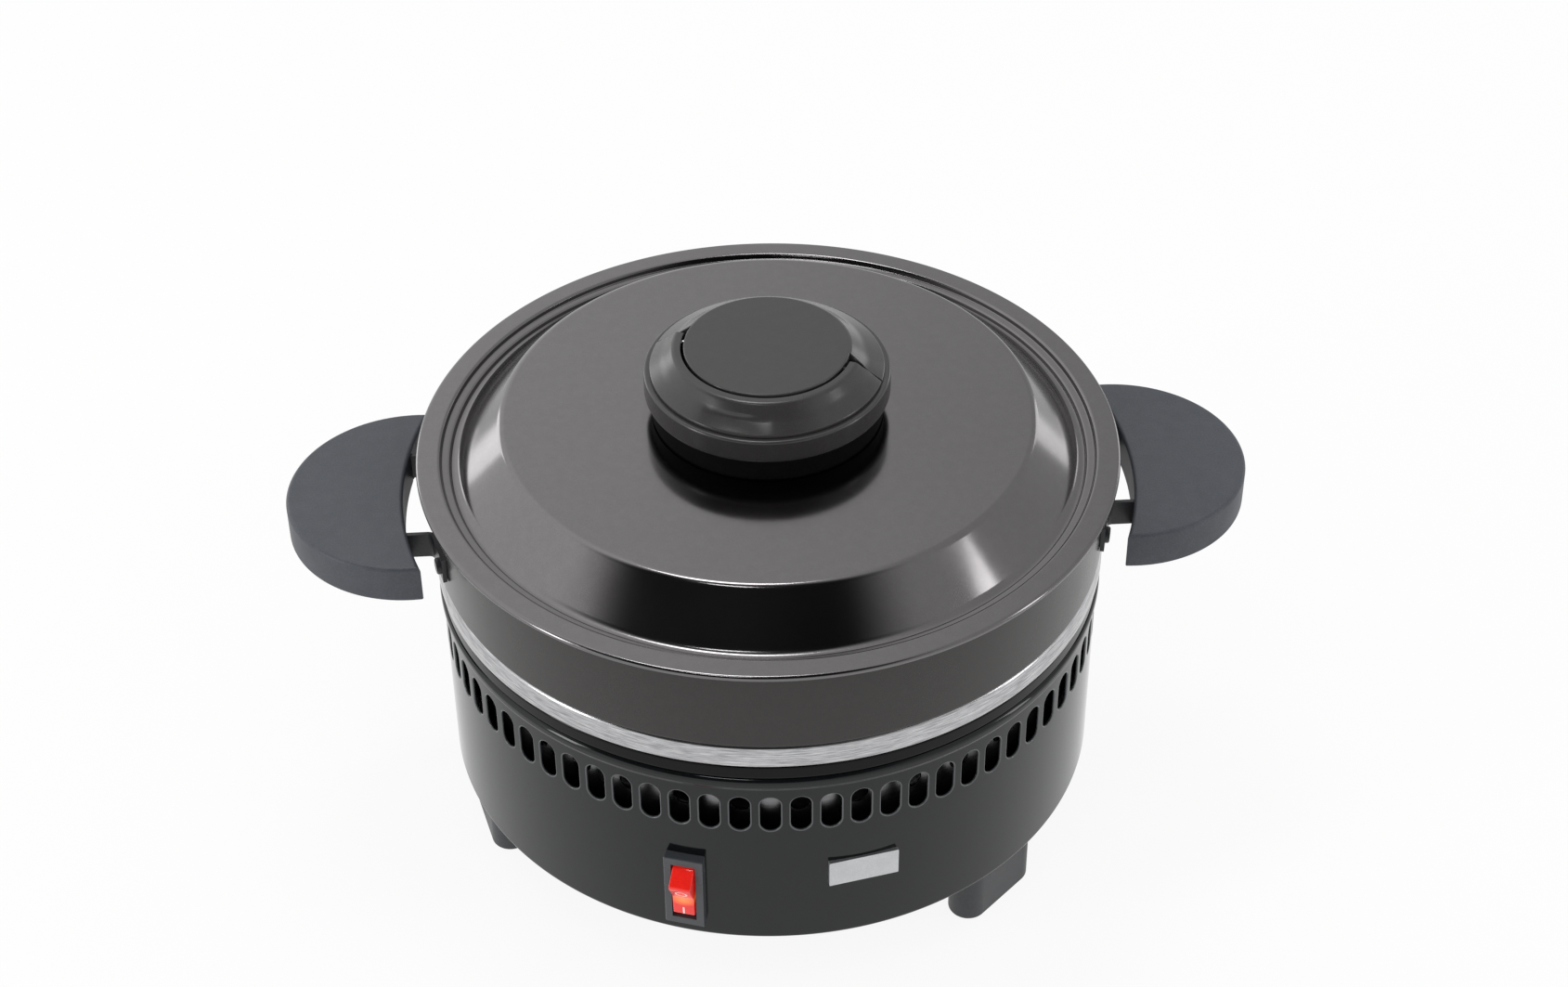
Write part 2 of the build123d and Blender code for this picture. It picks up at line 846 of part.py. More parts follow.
with BuildPart() as thermostat_rivets:
    for side in (-1, 1):
        place = floor_plane(thermostat_azimuth, thermostat_centre, reflector_z + reflector_sheet)
        seat = Plane(place.from_local_coords((side * thermostat_rivet, 0, 0)), z_dir=(0, 0, 1))
        with Locations(seat):
            Cylinder(m3_head, m3_head_height / 2, align=standing)
            Cylinder(
                m3_radius,
                reflector_sheet + ear_sheet,
                align=hanging,
            )
        with Locations(seat.offset(-reflector_sheet - ear_sheet)):
            Cylinder(m3_head, m3_head_height / 2, align=hanging)
save(thermostat_rivets.part, "thermostat_rivets")

# Terminal block and earth stud on the base plate
with BuildPart() as terminal_block:
    with BuildSketch(Plane.XY.offset(plate_top)):
        with Locations((0, block_y)):
            Rectangle(block_length, block_width)
    extrude(amount=block_height)
    fillet(terminal_block.edges().filter_by(Axis.Z), block_edge)
    with BuildSketch(Plane.XY.offset(plate_top + block_height)):
        with Locations((0, block_y)):
            with GridLocations(block_pitch, block_width / 2, 3, 2):
                Circle(block_screw_hole)
    extrude(amount=-block_height / 2, mode=Mode.SUBTRACT)
save(terminal_block.part, "terminal_block")

earth_place = Plane(origin=(earth_x, block_y, plate_top))
with BuildPart() as earth_stud:
    with Locations(earth_place):
        Cylinder(m4_radius, earth_height, align=standing)
        Cylinder(m4_radius, plate_sheet, align=hanging)
    with Locations(earth_place.offset(-plate_sheet)):
        Cylinder(m4_head, earth_head_height, align=hanging)
save(earth_stud.part, "earth_stud")

with BuildPart() as earth_nut:
    add(hex_nut(earth_place, m4_nut_flats, m4_nut_height, m4_radius + thread_gap))
save(earth_nut.part, "earth_nut")

# Cable gland and its nut
gland_plane = wall_plane(gland_azimuth, housing_radius, gland_z)
gland_nut_corner = gland_nut_flats / sqrt(3)
gland_nut_seat = sqrt((housing_radius - housing_sheet) ** 2 - gland_nut_corner**2)
gland_inside = wall_plane(gland_azimuth, gland_nut_seat, gland_z)
with BuildPart() as cable_gland:
    with Locations(gland_plane.offset(gland_proud)):
        Cylinder(gland_flange, gland_proud + gland_saddle, align=hanging)
    fillet(cable_gland.faces().sort_by(Axis(gland_plane.origin, gland_plane.z_dir))[-1].edges(), gland_edge)
    Cylinder(housing_radius, 2 * housing_height, mode=Mode.SUBTRACT)
    with Locations(gland_plane.offset(gland_proud / 2)):
        Cylinder(gland_thread, gland_proud / 2 + gland_depth, align=hanging)
    with Locations(gland_plane):
        Cylinder(gland_bore, 4 * gland_depth, mode=Mode.SUBTRACT)
save(cable_gland.part, "cable_gland")

with BuildPart() as gland_nut:
    add(hex_nut(gland_inside, gland_nut_flats, -gland_nut_height, gland_thread + thread_gap))
save(gland_nut.part, "gland_nut")

# Rocker switch: a framed body in the wall, contacts and a lamp
bezel_plane = wall_plane(switch_azimuth, housing_radius + bezel_proud, switch_z)
rocker_pivot_plane = bezel_plane.offset(-rocker_pivot)
side_of_switch = Plane(origin=rocker_pivot_plane.origin, x_dir=bezel_plane.y_dir, z_dir=bezel_plane.x_dir)
with BuildPart() as switch_frame:
    with BuildSketch(bezel_plane):
        RectangleRounded(bezel_width, bezel_height, bezel_edge)
    extrude(amount=-(bezel_proud + housing_sheet))
    bezel_face = switch_frame.faces().sort_by(Axis(bezel_plane.origin, bezel_plane.z_dir))[-1]
    chamfer(bezel_face.edges(), bezel_edge / 2)
    Cylinder(housing_radius, 2 * housing_height, mode=Mode.SUBTRACT)
    with BuildSketch(bezel_plane.offset(-bezel_proud / 2)):
        Rectangle(switch_body_width, switch_body_height)
    extrude(amount=-(switch_depth - bezel_proud / 2))
    with BuildSketch(bezel_plane):
        Rectangle(mouth_width, mouth_height)
    extrude(amount=-mouth_depth, mode=Mode.SUBTRACT)
    with BuildSketch(side_of_switch):
        Circle(rocker_pin + pin_gap)
    extrude(amount=rocker_pin_reach + pin_gap, both=True, mode=Mode.SUBTRACT)
save(switch_frame.part, "switch_frame")

rocker_up = bezel_plane.y_dir * cos(radians(rocker_tilt)) + bezel_plane.z_dir * sin(radians(rocker_tilt))
rocker_plane = Plane(origin=rocker_pivot_plane.origin, x_dir=rocker_up, z_dir=bezel_plane.x_dir)
dish_rise = 2 * rocker_reach * tan(radians(rocker_dish))
with BuildPart() as switch_rocker:
    with BuildSketch(rocker_plane):
        with BuildLine():
            Polyline(
                (0, rocker_crest),
                (2 * rocker_reach, rocker_crest + dish_rise),
                (2 * rocker_reach, -rocker_waist),
                (rocker_reach, -rocker_waist),
                (rocker_foot, -rocker_under),
                (-rocker_foot, -rocker_under),
                (-rocker_reach, -rocker_waist),
                (-2 * rocker_reach, -rocker_waist),
                (-2 * rocker_reach, rocker_crest + dish_rise),
                close=True,
            )
        make_face()
        Circle(rocker_reach, mode=Mode.INTERSECT)
    extrude(amount=rocker_width / 2, both=True)
    with BuildSketch(side_of_switch):
        Circle(rocker_pin)
    extrude(amount=rocker_pin_reach, both=True)
save(switch_rocker.part, "switch_rocker")

switch_back = bezel_plane.offset(-switch_depth)
with BuildPart() as switch_contacts:
    with BuildSketch(switch_back):
        with Locations((0, -blade_pitch), (0, 0), (0, blade_pitch)):
            Rectangle(blade_width, blade_sheet)
    extrude(amount=-blade_length)
save(switch_contacts.part, "switch_contacts")

with BuildPart() as switch_lamp:
    with Locations(bezel_plane.offset(-mouth_depth)):
        Cylinder(lamp_radius, lamp_height, align=standing)
save(switch_lamp.part, "switch_lamp")

# Badge plate: flat in front, its back following the wall
badge_plane = wall_plane(badge_azimuth, housing_radius + badge_proud, badge_z)
with BuildPart() as badge_plate:
    with BuildSketch(badge_plane):
        RectangleRounded(badge_width, badge_height, badge_corner)
    extrude(amount=-3 * badge_proud)
    Cylinder(housing_radius, 2 * housing_height, mode=Mode.SUBTRACT)
save(badge_plate.part, "badge_plate")

# Internal wires: block to switch, switch to thermostat, thermostat to element, element to block,
# and lamp to block
block_face = block_y - block_width / 2
block_mid = plate_top + block_height / 2
blade_end = housing_radius + bezel_proud - switch_depth - blade_length
low_z = plate_top + 2.5 * wire_radius
outer_foot, inner_foot = leg_feet
pin_z = element_z - leg_length - pin_length
thermostat_plane = floor_plane(
    thermostat_azimuth, thermostat_centre, reflector_z - thermostat_height - blade_length
)
tag_near = thermostat_plane.from_local_coords((0, thermostat_tag, 0))
tag_far = thermostat_plane.from_local_coords((0, -thermostat_tag, 0))


def blade_point(row, inwards):
    """Point on the centre line of one of the switch's blades, so far inwards of its end."""
    return tuple(wall_plane(switch_azimuth, blade_end - inwards, switch_z + row * blade_pitch).origin)


wires = {
    "wire_live": [
        (-block_pitch, block_face, block_mid),
        (-block_pitch, block_face - live_run, block_mid),
        (-live_side, 0, block_mid + live_lift),
        blade_point(1, blade_run),
        blade_point(1, 0),
    ],
    "wire_switched": [
        blade_point(0, 0),
        blade_point(0, blade_run),
        (tag_near.X, tag_near.Y - tag_run, low_z + tag_lift),
        (tag_near.X, tag_near.Y, low_z),
        (tag_near.X, tag_near.Y, tag_near.Z),
    ],
    "wire_thermostat": [
        (tag_far.X, tag_far.Y, tag_far.Z),
        (tag_far.X, tag_far.Y, low_z),
        (tag_far.X, outer_foot[1], low_z + wire_lift),
        (outer_foot[0], outer_foot[1], low_z + wire_lift),
        (outer_foot[0], outer_foot[1], pin_z),
    ],
    "wire_neutral": [
        (block_pitch, block_face, block_mid),
        (block_pitch, block_face - neutral_run, block_mid),
        (inner_foot[0], block_face - neutral_reach, block_mid),
        (inner_foot[0], inner_foot[1], block_mid),
        (inner_foot[0], inner_foot[1], pin_z),
    ],
    "wire_lamp": [
        (0, block_face, low_z),
        (0, block_face - lamp_run, low_z),
        (-lamp_side, -lamp_reach, low_z),
        blade_point(-1, blade_run),
        blade_point(-1, 0),
    ],
}
for name, points in wires.items():
    save(wire(points), name)

# Pan
rim_under = pan_top - rim_height
wall_top = pan_radius - wall_overhang
wall_foot = wall_top - wall_setback
bore_top = pan_radius - rim_width
bore_foot = bore_top - bore_setback
bead_outer = ring_mouth - bead_gap
bead_inner = bead_outer - bead_width
floor_top = pan_bottom + floor_rise
floor_under = floor_top - floor_thickness
ledge_z = pan_bottom + ledge_rise

# The strap's flange lies along a chord of the wall. Its corner is where the arm starts, and its
# end carries a rivet.
strap_mid = strap_z + strap_height / 2
wall_at_strap = wall_foot + wall_setback * (strap_mid - pan_bottom) / (rim_under - pan_bottom)
strap_circle = wall_at_strap + strap_sheet / 2 + strap_gap
flange_corner = Vector(sqrt(strap_circle**2 - strap_arm**2), strap_arm)
flange_end = Vector(sqrt(strap_circle**2 - strap_end**2), strap_end)
along_flange = (flange_end - flange_corner).normalized()
out_of_flange = Vector(along_flange.Y, -along_flange.X)
rivet_spot = flange_end - along_flange * rivet_inset + out_of_flange * (strap_sheet / 2)
rivet_planes = [
    Plane(
        origin=(x * rivet_spot.X, y * rivet_spot.Y, strap_mid),
        z_dir=(x * out_of_flange.X, y * out_of_flange.Y, 0),
    )
    for x in (-1, 1)
    for y in (-1, 1)
]

# The floor's holes stand on a triangular lattice with a hole-free centre
lattice_a = Vector(hole_pitch, 0).rotate(Axis.Z, hole_turn)
lattice_b = Vector(hole_pitch, 0).rotate(Axis.Z, hole_turn + 60)
lattice_reach = ceil(hole_field / hole_pitch) + 2
lattice = [
    lattice_a * (i + 1 / 3) + lattice_b * (j + 1 / 3)
    for i in range(-lattice_reach, lattice_reach)
    for j in range(-lattice_reach, lattice_reach)
]
floor_holes = [(spot.X, spot.Y) for spot in lattice if spot.length <= hole_field]

with BuildPart() as pan_shell:
    add(
        turned(
            [
                (0, floor_under, 0),
                (bead_inner, floor_under, pan_soft_edge),
                (bead_inner, pan_bottom - bead_drop, pan_small_edge),
                (bead_outer, pan_bottom - bead_drop, pan_small_edge),
                (bead_outer, pan_bottom + recess_depth, pan_soft_edge),
                (bead_outer + recess_width, pan_bottom + recess_depth, pan_soft_edge),
                (bead_outer + recess_width, pan_bottom, pan_fine_edge),
                (wall_foot, pan_bottom, pan_small_edge),
                (wall_top, rim_under, pan_fine_edge),
                (pan_radius, rim_under, pan_fine_edge),
                (pan_radius, pan_top, rim_edge),
                (bore_top, pan_top, rim_edge),
                (bore_foot, ledge_z, ledge_bend),
                (bore_foot - ledge_width, ledge_z - ledge_fall, ledge_edge),
                (floor_radius, floor_top, floor_bend),
                (0, floor_top, 0),
            ]
        )
    )
    with Locations([Plane(origin=(x, y, floor_top)) for x, y in floor_holes]):
        Cone(hole_lip_radius, hole_lip_top, hole_lip_rise, align=standing)
    with BuildSketch(Plane.XY.offset(floor_under)):
        with Locations(floor_holes):
            Circle(hole_radius)
    extrude(amount=floor_thickness + hole_lip_rise, mode=Mode.SUBTRACT)
    with Locations(rivet_planes):
        Cylinder(rivet_radius + thread_gap, 4 * strap_sheet + 2 * rivet_head_height, mode=Mode.SUBTRACT)
save(pan_shell.part, "pan_shell")

strap_route = [
    (flange_end.X, flange_end.Y),
    (flange_corner.X, flange_corner.Y),
    (strap_bridge, strap_arm),
    (strap_bridge, -strap_arm),
    (flange_corner.X, -flange_corner.Y),
    (flange_end.X, -flange_end.Y),
]
strap_bends = [strap_bend, strap_corner, strap_corner, strap_bend]
with BuildPart() as bracket_right:
    with BuildSketch(Plane.XY.offset(strap_z)):
        with BuildLine():
            FilletPolyline(*strap_route, radius=strap_bends)
        trace(line_width=strap_sheet)
    extrude(amount=strap_height)
    pan_side = [(wall_foot, pan_bottom, 0), (wall_top, rim_under, 0)]
    add(turned([(0, pan_bottom, 0), *pan_side, (0, rim_under, 0)]), mode=Mode.SUBTRACT)
    with Locations(rivet_planes):
        Cylinder(rivet_radius + thread_gap, 3 * strap_sheet, mode=Mode.SUBTRACT)
save(bracket_right.part, "bracket_right")
save(mirror(bracket_right.part, about=Plane.YZ), "bracket_left")

grip_bottom = grip_top - grip_thickness
grip_screw_spots = [(strap_bridge - grip_screw_inset, y) for y in (-grip_screw_spread, grip_screw_spread)]
with BuildPart() as grip_right:
    with BuildSketch(Plane.XY.offset(grip_bottom)):
        with Locations((grip_centre, 0)):
            Circle(grip_radius)
        Circle(grip_gap, mode=Mode.SUBTRACT)
    extrude(amount=grip_thickness)
    fillet(grip_right.faces().filter_by(Axis.Z).edges(), grip_edge)
    with BuildSketch(Plane.XY.offset(grip_bottom)):
        with BuildLine():
            FilletPolyline(*strap_route, radius=strap_bends)
        trace(line_width=strap_sheet + 2 * groove_gap)
    extrude(amount=strap_z + strap_height + groove_gap - grip_bottom, mode=Mode.SUBTRACT)
    with BuildSketch(Plane.XY.offset(grip_bottom)):
        with Locations(grip_screw_spots):
            Circle(m4_head + screw_gap)
    extrude(amount=strap_z - grip_bottom, mode=Mode.SUBTRACT)
    with BuildSketch(Plane.XY.offset(strap_z)):
        with Locations(grip_screw_spots):
            Circle(m4_radius + thread_gap)
    extrude(amount=grip_screw_depth + grip_screw_end, mode=Mode.SUBTRACT)
save(grip_right.part, "grip_right")
save(mirror(grip_right.part, about=Plane.YZ), "grip_left")

with BuildPart() as grip_screws:
    for side in (-1, 1):
        for x, y in grip_screw_spots:
            seat = Plane(origin=(side * x, y, strap_z), z_dir=(0, 0, -1))
            add(screw(seat, m4_radius, grip_screw_depth, m4_head, strap_z - grip_bottom - grip_screw_sink))
save(grip_screws.part, "grip_screws")

wall_here = wall_at_strap - bore_foot
with BuildPart() as bracket_rivets:
    with Locations(rivet_planes):
        Cylinder(rivet_head, rivet_head_height, align=standing)
    heads = bracket_rivets.faces().filter_by(GeomType.PLANE).group_by(SortBy.DISTANCE)[-1]
    fillet(heads.edges(), rivet_head_height / 2)
    with Locations(rivet_planes):
        Cylinder(
            rivet_radius,
            strap_sheet + wall_here + rivet_head_height / 2,
            align=hanging,
        )
    with Locations([plane.offset(-strap_sheet - wall_here / 2) for plane in rivet_planes]):
        Cylinder(
            rivet_head,
            wall_here / 2 + rivet_head_height / 2,
            align=hanging,
        )
    add(pan_shell.part, mode=Mode.SUBTRACT)
save(bracket_rivets.part, "bracket_rivets")

# Lid, spun from one sheet from its curled edge to its crown
brim_z = pan_top + lift_gap + lid_sheet / 2
knob_plane = Plane.XY.rotated((0, 0, knob_yaw))
lid_edge = lid_radius - lid_sheet / 2
brim_inner = lid_edge - brim_width
upper_inner = brim_inner - step_setback
lower_outer = upper_inner - upper_ledge
lower_inner = lower_outer - step_setback
flank_outer = lower_inner - lower_ledge
upper_z = brim_z + brim_rise - upper_step
lower_z = upper_z - ledge_dip - lower_step
flank_z = lower_z - ledge_dip
crown_z = flank_z + flank_height + crown_rise
crown_top = crown_z + lid_sheet / 2
with BuildPart() as lid_shell:
    add(
        spun(
            [
                (lid_edge, brim_z - brim_curl, 0),
                (lid_edge, brim_z, curl_bend),
                (brim_inner, brim_z + brim_rise, brim_bend),
                (upper_inner, upper_z, brim_bend),
                (lower_outer, upper_z - ledge_dip, step_bend),
                (lower_inner, lower_z, step_bend),
                (flank_outer, flank_z, flank_foot_bend),
                (flank_outer - flank_width, flank_z + flank_height, flank_top_bend),
                (crown_flat, crown_z, crown_bend),
                (0, crown_z, 0),
            ],
            lid_sheet,
        )
    )
    with BuildSketch(knob_plane.offset(crown_z - lid_sheet)):
        for angle in boss_angles:
            with PolarLocations(boss_centre, 1, start_angle=angle):
                Circle(m4_radius + screw_gap)
        with PolarLocations(lid_hole_centre, lid_hole_count, start_angle=lid_hole_turn):
            Circle(lid_hole_radius)
    extrude(amount=2 * lid_sheet, mode=Mode.SUBTRACT)
save(lid_shell.part, "lid_shell")

# Knob: seal, neck and ring, held by three screws from under the lid
seal_top = crown_top + seal_sheet
neck_top = seal_top + neck_height
knob_floor_top = neck_top + knob_floor
knob_ring_top = neck_top + knob_ring_height
knob_top = knob_ring_top + cap_rise
boss_spots = [
    knob_plane.from_local_coords(Vector(boss_centre, 0).rotate(Axis.Z, angle))
    for angle in boss_angles
]


def bosses_at(z):
    """Planes at the three screw bosses of the knob, at one height."""
    return [Plane(origin=(spot.X, spot.Y, z)) for spot in boss_spots]


with BuildPart() as knob_seal:
    with BuildSketch(Plane.XY.offset(crown_top)):
        Circle(neck_radius - slip_gap)
        Circle(boss_centre - boss_radius, mode=Mode.SUBTRACT)
    extrude(amount=seal_sheet)
    with Locations(bosses_at(crown_top)):
        Cylinder(m4_radius + screw_gap, 4 * seal_sheet, mode=Mode.SUBTRACT)
save(knob_seal.part, "knob_seal")

with BuildPart() as knob_neck:
    with BuildSketch(Plane.XY.offset(seal_top)):
        Circle(neck_radius)
        Circle(neck_radius - neck_wall, mode=Mode.SUBTRACT)
    extrude(amount=neck_height)
    with Locations(bosses_at(seal_top)):
        Cylinder(boss_radius, neck_height, align=standing)
        Cylinder(m4_radius + screw_gap, 4 * neck_height, mode=Mode.SUBTRACT)
save(knob_neck.part, "knob_neck")

with BuildPart() as knob_base:
    add(
        turned(
            [
                (0, neck_top, 0),
                (knob_radius, neck_top, 2 * knob_edge),
                (knob_radius, knob_ring_top, knob_edge),
                (knob_radius - knob_wall, knob_ring_top, knob_rim_edge),
                (knob_radius - knob_wall, knob_floor_top, knob_floor_bend),
                (0, knob_floor_top, 0),
            ]
        )
    )
    with Locations(bosses_at(knob_floor_top)):
        Cylinder(boss_radius, boss_height, align=standing)
        Cylinder(m4_radius + thread_gap, 4 * boss_height, mode=Mode.SUBTRACT)
    with BuildSketch(knob_plane.offset(neck_top)):
        first = 270 - steam_spread / 2
        with PolarLocations(boss_centre, steam_count, first, steam_spread, endpoint=True):
            SlotOverall(steam_length, steam_width)
        Circle(m4_radius + screw_gap)
    extrude(amount=knob_floor, mode=Mode.SUBTRACT)
save(knob_base.part, "knob_base")

stack_length = washer_sheet + lid_sheet + seal_sheet + neck_height + knob_floor
lid_under = crown_top - lid_sheet
with BuildPart() as knob_washers:
    with Locations(bosses_at(lid_under)):
        Cylinder(washer_radius, washer_sheet, align=hanging)
        Cylinder(m4_radius + screw_gap, 4 * washer_sheet, mode=Mode.SUBTRACT)
save(knob_washers.part, "knob_washers")

with BuildPart() as knob_screws:
    for spot in boss_spots:
        seat = Plane(origin=(spot.X, spot.Y, lid_under - washer_sheet), z_dir=(0, 0, -1))
        add(screw(seat, m4_radius, stack_length + boss_height, m4_head, m4_head_height))
    seat = Plane(origin=(0, 0, neck_top), z_dir=(0, 0, -1))
    add(screw(seat, m4_radius, knob_floor + cap_screw_end, m4_head, m4_head_height))
save(knob_screws.part, "knob_screws")

# Cap of the knob: a disc on a core, with a skirt round its back half
pivot_z = knob_top - pivot_drop
pivot_plane = Plane(origin=(0, 0, pivot_z), x_dir=knob_plane.y_dir, z_dir=knob_plane.x_dir)
disc_under = knob_top - cap_thickness


def pivot_locations(inner, outer):
    """Planes on both ends of the flap's axis, halfway between two distances from its middle."""
    return [pivot_plane.offset(side * (inner + outer) / 2) for side in (-1, 1)]


with BuildPart() as skirt:
    add(
        turned(
            [
                (core_radius, knob_top, 0),
                (cap_radius, knob_top, skirt_bend),
                (skirt_radius, knob_ring_top + skirt_base, skirt_edge),
                (skirt_radius, knob_ring_top, 0),
                (skirt_radius - skirt_wall, knob_ring_top, 0),
                (core_radius, disc_under - skirt_overlap, 0),
            ]
        )
    )
    split(
        bisect_by=Plane(origin=knob_plane.from_local_coords((0, skirt_start, 0)), z_dir=knob_plane.y_dir),
        keep=Keep.TOP,
    )

with BuildPart() as knob_cap:
    add(
        turned(
            [
                (0, knob_top, 0),
                (cap_radius, knob_top, cap_edge),
                (cap_radius, disc_under, 0),
                (core_radius, disc_under, 0),
                (core_radius, knob_floor_top, 0),
                (core_radius - core_wall, knob_floor_top, 0),
                (core_radius - core_wall, disc_under, 0),
                (core_boss, disc_under, 0),
                (core_boss, knob_floor_top, 0),
                (0, knob_floor_top, 0),
            ]
        )
    )
    add(skirt.part)
    with Locations(pivot_locations(core_radius - 2 * core_wall, core_radius + core_wall)):
        Cylinder(pivot_pin, 3 * core_wall, mode=Mode.SUBTRACT)
    with Locations(Plane.XY.offset(knob_floor_top)):
        Cylinder(m4_radius + thread_gap, 2 * cap_bore, mode=Mode.SUBTRACT)
save(knob_cap.part, "knob_cap")

with BuildPart() as flap_pins:
    with Locations(pivot_locations(pivot_pin_inner, pivot_pin_outer)):
        Cylinder(pivot_pin, pivot_pin_outer - pivot_pin_inner)
save(flap_pins.part, "flap_pins")

# Crescent flap in front of the cap, hinged at its two noses
flap_top = knob_top - flap_top_drop
flap_bottom = knob_ring_top + slip_gap
flap_inner = cap_radius + flap_gap
slope_run = Vector(skirt_radius - flap_land, flap_bottom + flap_lip - flap_top)
slope_out = Vector(-slope_run.Y, slope_run.X).normalized()
scoop_spot = Vector(skirt_radius, flap_bottom + flap_lip) - slope_run * scoop_rise
scoop_middle = scoop_spot + slope_out * (scoop_radius - scoop_depth)
with BuildPart() as flap_nose:
    with Locations(pivot_locations(nose_inner, nose_outer)):
        Cylinder(nose_radius, nose_outer - nose_inner)
        Box(
            2 * nose_radius,
            nose_radius * 2,
            nose_outer - nose_inner,
            align=(Align.MAX, Align.CENTER, Align.CENTER),
        )
    for side in (-1, 1):
        start = knob_plane.from_local_coords((side * nose_inner, -flap_start, pivot_z))
        with Locations(Plane(start, x_dir=knob_plane.x_dir)):
            Box(
                nose_outer - nose_inner,
                nose_block * nose_radius,
                flap_top - pivot_z,
                align=(Align.MIN if side > 0 else Align.MAX, Align.MAX, Align.MIN),
            )
    add(
        turned(
            [
                (0, flap_bottom, 0),
                (skirt_radius, flap_bottom, 0),
                (skirt_radius, flap_bottom + flap_lip, 0),
                (flap_land, flap_top, 0),
                (0, flap_top, 0),
            ]
        ),
        mode=Mode.INTERSECT,
    )

with BuildPart() as knob_flap:
    add(
        turned(
            [
                (flap_inner, flap_top, flap_edge),
                (flap_land, flap_top, skirt_bend),
                (skirt_radius, flap_bottom + flap_lip, skirt_edge),
                (skirt_radius, flap_bottom, 0),
                (skirt_radius - flap_wall, flap_bottom, 0),
                (skirt_radius - flap_wall, flap_bottom + flap_lip - flap_undercut, 0),
                (flap_land - flap_land_wall, flap_top - flap_wall, 0),
                (flap_inner, flap_top - flap_wall, 0),
            ]
        )
    )
    split(
        bisect_by=Plane(origin=knob_plane.from_local_coords((0, -flap_start, 0)), z_dir=knob_plane.y_dir),
        keep=Keep.BOTTOM,
    )
    add(flap_nose.part)
    with Locations(pivot_locations(nose_inner, nose_outer)):
        Cylinder(pivot_pin + pin_gap, 3 * nose_radius, mode=Mode.SUBTRACT)
    with Locations(Plane(knob_plane.from_local_coords((0, -scoop_middle.X, scoop_middle.Y)))):
        Sphere(scoop_radius, mode=Mode.SUBTRACT)
save(knob_flap.part, "knob_flap")
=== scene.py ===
import json
import math
from functools import partial

import bmesh
import bpy
import numpy as np
from mathutils import Matrix, Vector
from mathutils.geometry import delaunay_2d_cdt


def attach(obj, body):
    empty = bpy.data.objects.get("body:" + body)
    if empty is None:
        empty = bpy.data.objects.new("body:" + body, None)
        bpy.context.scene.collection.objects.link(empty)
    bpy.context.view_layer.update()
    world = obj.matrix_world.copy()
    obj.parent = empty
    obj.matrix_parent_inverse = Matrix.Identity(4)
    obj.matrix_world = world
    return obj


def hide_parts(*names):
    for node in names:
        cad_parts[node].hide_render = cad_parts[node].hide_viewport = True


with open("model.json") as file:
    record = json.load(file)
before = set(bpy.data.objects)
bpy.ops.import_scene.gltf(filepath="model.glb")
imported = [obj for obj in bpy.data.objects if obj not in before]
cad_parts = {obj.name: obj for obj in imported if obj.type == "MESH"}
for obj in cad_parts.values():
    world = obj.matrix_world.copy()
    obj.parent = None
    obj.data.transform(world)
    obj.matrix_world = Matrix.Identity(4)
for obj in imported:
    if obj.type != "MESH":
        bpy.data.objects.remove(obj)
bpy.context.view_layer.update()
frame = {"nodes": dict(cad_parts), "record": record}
nodes = frame["nodes"]
mm = 0.001
print("frame loaded:", len(nodes), "nodes")


# camera, at the photograph's place
cameraSetup = {
    "target": (5.37, -0.32, 127.6),
    "distance": 1000.25,
    "azimuth": 3.4,
    "elevation": 39.035,
    "roll": -0.493,
    "lens": 65.1,
    "sensor": 36.0,
    "clip": (0.01, 50.0),
}


def placeCamera(setup):
    # looks along d = (sin a cos e, cos a cos e, -sin e); right and up are then rolled about d
    azimuth, elevation, roll = (math.radians(setup[key]) for key in ("azimuth", "elevation", "roll"))
    flat = Vector((math.sin(azimuth), math.cos(azimuth), 0))
    look = flat * math.cos(elevation) - Vector((0, 0, math.sin(elevation)))
    right = Vector((math.cos(azimuth), -math.sin(azimuth), 0))
    up = right.cross(look)
    rolledRight = right * math.cos(roll) + up * math.sin(roll)
    rolledUp = up * math.cos(roll) - right * math.sin(roll)
    place = (Vector(setup["target"]) - look * setup["distance"]) * mm
    data = bpy.data.cameras.new("photoCamera")
    data.lens = setup["lens"]
    data.sensor_fit = "HORIZONTAL"
    data.sensor_width = setup["sensor"]
    data.clip_start, data.clip_end = setup["clip"]
    camera = bpy.data.objects.new("photoCamera", data)
    turned = Matrix((rolledRight, rolledUp, -look)).transposed().to_4x4()
    camera.matrix_world = Matrix.Translation(place) @ turned
    bpy.context.scene.collection.objects.link(camera)
    bpy.context.scene.camera = camera


placeCamera(cameraSetup)
print("camera placed")


# nodes shared by the materials
nodeColumn = 220
nodeRow = 180


def feed(node, inputs):
    # sets each input to a value, or links it to another node's socket; the node then stands one
    # column to the right of the last node that feeds it
    tree = node.id_data
    for key, value in inputs.items():
        if isinstance(value, bpy.types.NodeSocket):
            tree.links.new(value, node.inputs[key])
        else:
            node.inputs[key].default_value = value
    feeding = [socket.links[0].from_node for socket in node.inputs if socket.is_linked]
    column = max((other.location.x + nodeColumn for other in feeding), default=0)
    row = sum(other.location.x == column for other in tree.nodes if other != node)
    node.location = (column, -row * nodeRow)


def addNode(tree, kind, inputs=(), **settings):
    node = tree.nodes.new(kind)
    for key, value in settings.items():
        setattr(node, key, value)
    feed(node, dict(inputs))
    return node


def addMath(tree, kind, *values):
    # a Math node on one to three values, each a number or a socket
    return addNode(tree, "ShaderNodeMath", dict(enumerate(values)), operation=kind).outputs[0]


def addVector(tree, kind, *values):
    # a Vector Math node; a length or a dot product gives a number
    node = addNode(tree, "ShaderNodeVectorMath", dict(enumerate(values)), operation=kind)
    return node.outputs["Value" if kind in ("LENGTH", "DOT_PRODUCT") else "Vector"]


